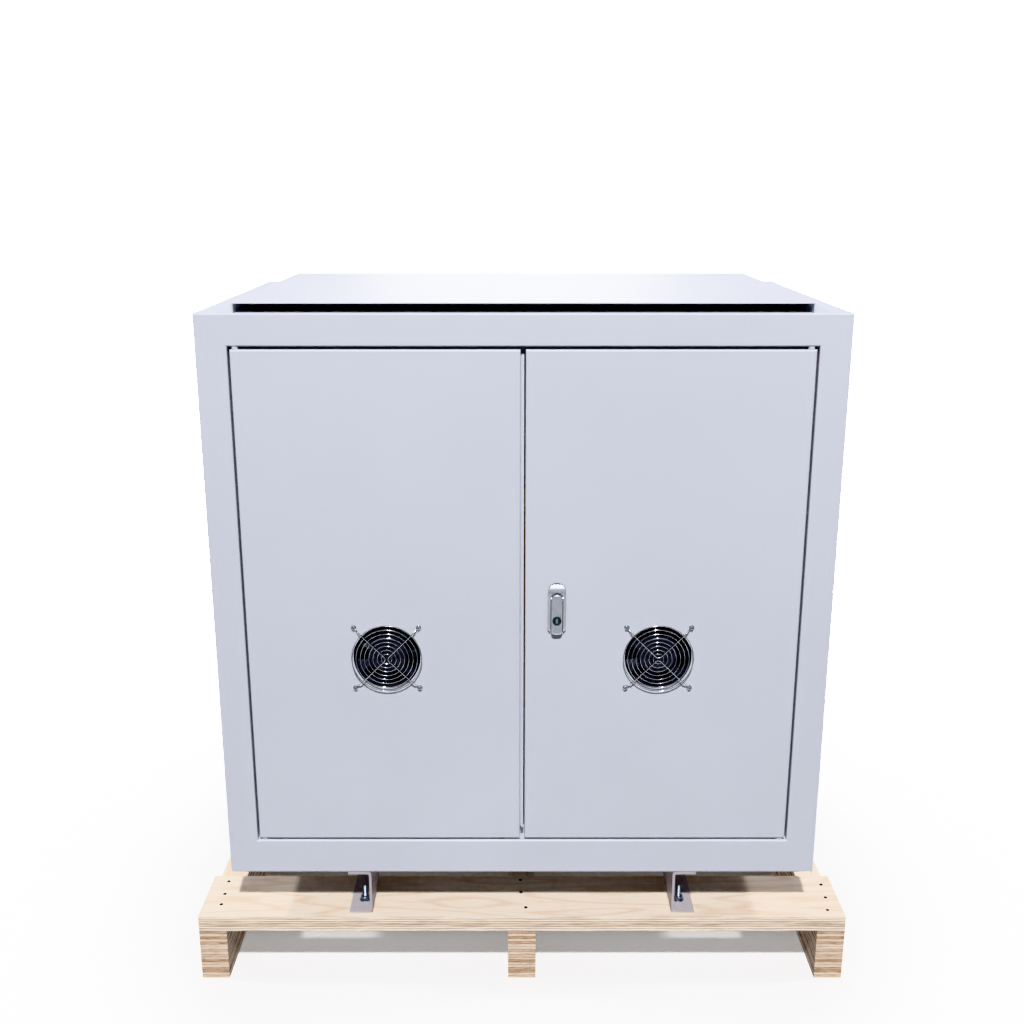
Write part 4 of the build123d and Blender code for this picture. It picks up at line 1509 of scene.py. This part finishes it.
@dataclass
class Lock:
    """Flush lift-up lock on the right leaf: a lever with a dished face, and a plug round its key slot.

    Sizes in millimetres.
    """

    key_at: Point = (55.0, -310.0, 665.2)
    plug_size: tuple[float, float] = (4.6, 9.4)
    slot_size: tuple[float, float] = (1.4, 6.6)
    plug_rise: float = 0.3
    plug_edge: float = 0.12
    lever_at: Point = (55.0, -302.4, 675.0)
    lever_size: tuple[float, float] = (18.2, 68.0)
    lever_corner: float = 6.0
    arc_steps: int = 14
    # Inset, rise out of the leaf and shortening at the foot of each loop, from the back to the dished face
    lever_profile: tuple[tuple[float, float, float], ...] = (
        (0.0, 0.3, 0.0),
        (0.0, 5.0, 0.0),
        (0.55, 6.25, 0.0),
        (1.2, 6.75, 0.0),
        (2.0, 7.0, 0.0),
        (2.7, 7.0, 0.0),
        (3.2, 6.5, 22.0),
    )

    def outline(
        self, size: tuple[float, float], inset: float, corner: float, short: float = 0.0
    ) -> list[tuple[float, float]]:
        """Points round an upright form with a half-round head and rounded lower corners.

        Args:
            size: the form's width and height.
            inset: how far the points lie inside it.
            corner: radius of the lower corners.
            short: how far the foot stays back.

        Returns:
            Across and up pairs, starting at the head's right-hand end.
        """
        width, height = size
        foot = short + corner - height / 2
        arcs = (
            (0.0, (height - width) / 2, width / 2, 0.0, 180.0),
            (corner - width / 2, foot, corner, 180.0, 270.0),
            (width / 2 - corner, foot, corner, 270.0, 360.0),
        )
        points = []
        for across, up, radius, first, last in arcs:
            reach = radius - inset
            for step in range(self.arc_steps + 1):
                angle = math.radians(first + (last - first) * step / self.arc_steps)
                points.append((across + reach * math.cos(angle), up + reach * math.sin(angle)))
        return points

    def skin(self, name: str, at: Point, loops: list[Loop], capped: bool, finish: Finish) -> bpy.types.Object:
        """Joins loops of points into a closed form.

        Args:
            name: the object's name.
            at: the form's origin in the part's frame.
            loops: across and up pairs, with the loop's rise out of the leaf.
            capped: closes the first and the last loop, or else joins them.
            finish: the form's finish.

        Returns:
            The form's object.
        """
        x, y, z = at
        mesh = bmesh.new()
        rings = [
            [mesh.verts.new(((x + across) * MM, (y - rise) * MM, (z + up) * MM)) for across, up in points]
            for points, rise in loops
        ]
        for ring, after in zip(rings, rings[1:] if capped else rings[1:] + rings[:1]):
            for step in range(len(ring)):
                follow = (step + 1) % len(ring)
                mesh.faces.new((ring[step], ring[follow], after[follow], after[step]))
        if capped:
            mesh.faces.new(rings[0])
            mesh.faces.new(rings[-1])
        made = smoothed(object_from(mesh, name))
        made.data.materials.append(finish.material())
        return made

    def plug(self) -> bpy.types.Object:
        """Builds the plug's face round the key slot.

        Returns:
            The plug in place on the key cylinder.
        """
        slot, plug = self.slot_size, self.plug_size
        loops = [
            (self.outline(slot, 0.0, slot[0] / 2), 0.0),
            (self.outline(slot, 0.0, slot[0] / 2), self.plug_rise),
            (self.outline(plug, self.plug_edge, plug[0] / 2), self.plug_rise),
            (self.outline(plug, 0.0, plug[0] / 2), self.plug_rise - self.plug_edge),
            (self.outline(plug, 0.0, plug[0] / 2), 0.0),
        ]
        return self.skin("key_plug", self.key_at, loops, False, KEY_PLUG)

    def lever(self) -> bpy.types.Object:
        """Builds the lever with its rounded rim and dished face, just clear of the recess.

        Returns:
            The lever in place in its recess.
        """
        loops = [
            (self.outline(self.lever_size, inset, self.lever_corner, short), rise)
            for inset, rise, short in self.lever_profile
        ]
        return self.skin("dished_lock_lever", self.lever_at, loops, True, LOCK_SATIN)

    def dress(self) -> None:
        """Gives the castings their plating, the cylinder its dark one, and fits the lever and the plug."""
        LOCK_PLATE.dress("lock_escutcheon")
        KEY_STEEL.dress("key_cylinder")
        settle(self.lever(), "lever", "lock_satin", "lock_lever")
        settle(self.plug(), "lever", "lock_satin")


@dataclass
class CoreAndCoils:
    """Three-limb core with its coils, clamps, rods and blocks."""

    coils: tuple[str, ...] = ("left_coil", "middle_coil", "right_coil")
    clamps: tuple[str, ...] = (
        "lower_front_clamp",
        "lower_rear_clamp",
        "upper_front_clamp",
        "upper_rear_clamp",
        "left_core_bearer",
        "right_core_bearer",
    )

    def dress(self) -> None:
        """Gives the core, coils and steelwork their finishes."""
        CORE_STEEL.dress("core")
        COIL_TAPE.dress(*self.coils)
        CLAMP_PAINT.dress(*self.clamps)
        ZINC_PLATE.dress("tie_rods")
        BLOCK_BOARD.dress("coil_blocks")


@dataclass(frozen=True)
class StudioPaper(Finish):
    """White paper laid as a floor: dull and even near the part, fading into the white backdrop further off.

    Attributes:
        fade_from: distance in metres where the paper starts to fade.
        fade_to: distance in metres where only the backdrop shows.
        glow: painted light of its own, which keeps the floor's shadows pale.
        glow_from: distances on X and on Y in metres over which the painted glow sets in, outside the middle,
            where the floor under the part is left in its shade.
        tooth_mm: size of the paper's tooth, drawn coarse so that it shows.
    """

    fade_from: float = 0.62
    fade_to: float = 1.6
    glow: float = 0.3
    glow_from: tuple[tuple[float, float], ...] = ((0.5, 0.62), (0.06, 0.2))
    tooth_mm: float = 40.0

    def paint(self, tree: bpy.types.NodeTree) -> Inputs:
        """Builds the fade by distance, a faint tooth and the glow.

        Args:
            tree: the material's node tree.

        Returns:
            Values and sockets for the surface shader's inputs.
        """
        place = add_node(tree, "ShaderNodeTexCoord", out="Object")
        away = add_node(tree, "ShaderNodeVectorMath", {0: place}, out="Value", operation="LENGTH")
        shown = add_node(
            tree,
            "ShaderNodeMapRange",
            {0: away, 1: self.fade_from, 2: self.fade_to, 3: 1.0, 4: 0.0},
            interpolation_type="SMOOTHSTEP",
        )
        tooth = add_node(
            tree, "ShaderNodeTexNoise", {"Vector": place, "Scale": per_metre(self.tooth_mm), "Detail": 4.0}
        )
        tone = self.drifted(tree, tooth)
        across = add_node(tree, "ShaderNodeSeparateXYZ", {0: place}).node.outputs
        reach = []
        for side, (near, far) in zip(across, self.glow_from):
            apart = add_node(tree, "ShaderNodeMath", {0: side}, operation="ABSOLUTE")
            span = {0: apart, 1: near, 2: far, 3: 0.0, 4: self.glow}
            reach.append(add_node(tree, "ShaderNodeMapRange", span))
        glow = add_node(tree, "ShaderNodeMath", {0: reach[0], 1: reach[1]}, operation="MAXIMUM")
        lit = {"Emission Color": linear("#FFFFFF"), "Emission Strength": glow}
        return {"Base Color": tone, "Roughness": 0.9, "Alpha": shown, **lit}


@dataclass
class Studio:
    """Pale floor, soft lights and the camera. Metres, degrees and watts.

    Attributes:
        lens: focal length in millimetres.
        sensor: width of the camera's sensor in millimetres.
        pitch: how far the camera looks down.
        stand: where the camera stands.
        view_reach: how far the camera sees.
        aim: where the lights look.
        key_at: where the main light hangs.
        key_power: its power.
        key_size: its width and height.
        sky: brightness of the surroundings below and above.
        horizon: upward parts of a direction between which that brightness changes.
        floor_size: side of the floor.
        backdrop: radius of the white backdrop.
        backdrop_glow: brightness of the backdrop.
        fills: place, power and size of the lights at the sides and the back.
    """

    lens: float = 41.96
    sensor: float = 36.0
    pitch: float = 15.54
    stand: Point = (-0.0172, -2.111, 1.3482)
    view_reach: float = 100.0
    aim: Point = (0.0, 0.0, 0.55)
    key_at: Point = (0.0, -6.0, 7.75)
    key_power: float = 1200.0
    key_size: tuple[float, float] = (0.5, 0.45)
    sky: tuple[float, float] = (0.32, 0.085)
    horizon: tuple[float, float] = (-0.45, 0.05)
    floor_size: float = 6.0
    backdrop: float = 14.0
    backdrop_glow: float = 40.0
    fills: tuple[tuple[Point, float, float], ...] = (
        ((-5.0, 0.3, 4.1), 212.0, 0.35),
        ((5.0, 0.3, 4.1), 212.0, 0.35),
        ((0.0, 5.4, 3.0), 150.0, 1.6),
    )

    def lamp(self, name: str, place: Point, power: float, size: tuple[float, float]) -> None:
        """Hangs an area light that looks at the cabinet's middle.

        Args:
            name: the light's name.
            place: where it hangs.
            power: its power.
            size: its width and height.
        """
        data = bpy.data.lights.new(name, "AREA")
        data.shape, data.size, data.size_y, data.energy = "RECTANGLE", size[0], size[1], power
        made = linked(name, data)
        made.location = place
        made.rotation_mode = "QUATERNION"
        made.rotation_quaternion = (Vector(self.aim) - Vector(place)).to_track_quat("-Z", "Y")

    def floor(self) -> None:
        """Lays the pale floor and hangs the white backdrop round it."""
        mesh = bmesh.new()
        bmesh.ops.create_grid(mesh, x_segments=4, y_segments=4, size=self.floor_size / 2)
        floor = object_from(mesh, "studio_floor")
        floor.data.materials.append(StudioPaper("studio_paper", "#EEEEEE", "#EAEAEB").material())
        floor.visible_diffuse = False
        wall_mesh = bmesh.new()
        bmesh.ops.create_uvsphere(wall_mesh, u_segments=48, v_segments=24, radius=self.backdrop)
        wall = object_from(wall_mesh, "studio_backdrop")
        glow = bpy.data.materials.new("studio_backdrop_cloth")
        glow.use_nodes = True
        glow.node_tree.nodes.clear()
        light = add_node(
            glow.node_tree,
            "ShaderNodeEmission",
            {"Color": linear("#FFFFFF"), "Strength": self.backdrop_glow},
        )
        add_node(glow.node_tree, "ShaderNodeOutputMaterial", {"Surface": light})
        wall.data.materials.append(glow)
        wall.visible_diffuse = wall.visible_shadow = wall.visible_glossy = False

    def world(self) -> None:
        """Surrounds the part with soft light, brighter from below as off a pale floor."""
        world = bpy.data.worlds.new("studio_sky")
        world.use_nodes = True
        tree = world.node_tree
        tree.nodes.clear()
        way = add_node(tree, "ShaderNodeTexCoord", out="Generated")
        upward = add_node(tree, "ShaderNodeSeparateXYZ", {0: way}, out=2)
        span = {0: upward, 1: self.horizon[0], 2: self.horizon[1], 3: self.sky[0], 4: self.sky[1]}
        strength = add_node(tree, "ShaderNodeMapRange", span)
        sky = add_node(tree, "ShaderNodeBackground", {"Color": linear("#F6F8FF"), "Strength": strength})
        add_node(tree, "ShaderNodeOutputWorld", {"Surface": sky})
        bpy.context.scene.world = world
        bpy.context.scene.view_settings.view_transform = "Khronos PBR Neutral"

    def camera(self) -> None:
        """Stands the camera where the picture was taken from."""
        data = bpy.data.cameras.new("studio_camera")
        data.sensor_width, data.lens, data.clip_end = self.sensor, self.lens, self.view_reach
        made = linked("studio_camera", data)
        made.location = self.stand
        made.rotation_euler = (math.radians(90.0 - self.pitch), 0.0, 0.0)
        bpy.context.scene.camera = made

    def build(self) -> None:
        """Sets up the whole studio."""
        self.camera()
        self.floor()
        self.world()
        self.lamp("key_light", self.key_at, self.key_power, self.key_size)
        for number, (place, power, size) in enumerate(self.fills):
            self.lamp(f"fill_light_{number}", place, power, (size, size))


def main() -> None:
    """Builds the studio, dresses every sub-assembly and notes the sizes."""
    logging.basicConfig(level=logging.INFO, format="%(name)s: %(message)s")
    Studio().build()
    for assembly in (Pallet(), Feet(), Cabinet(), Fan(Side.LEFT), Fan(Side.RIGHT), Lock(), CoreAndCoils()):
        assembly.dress()


if __name__ == "__main__":
    main()
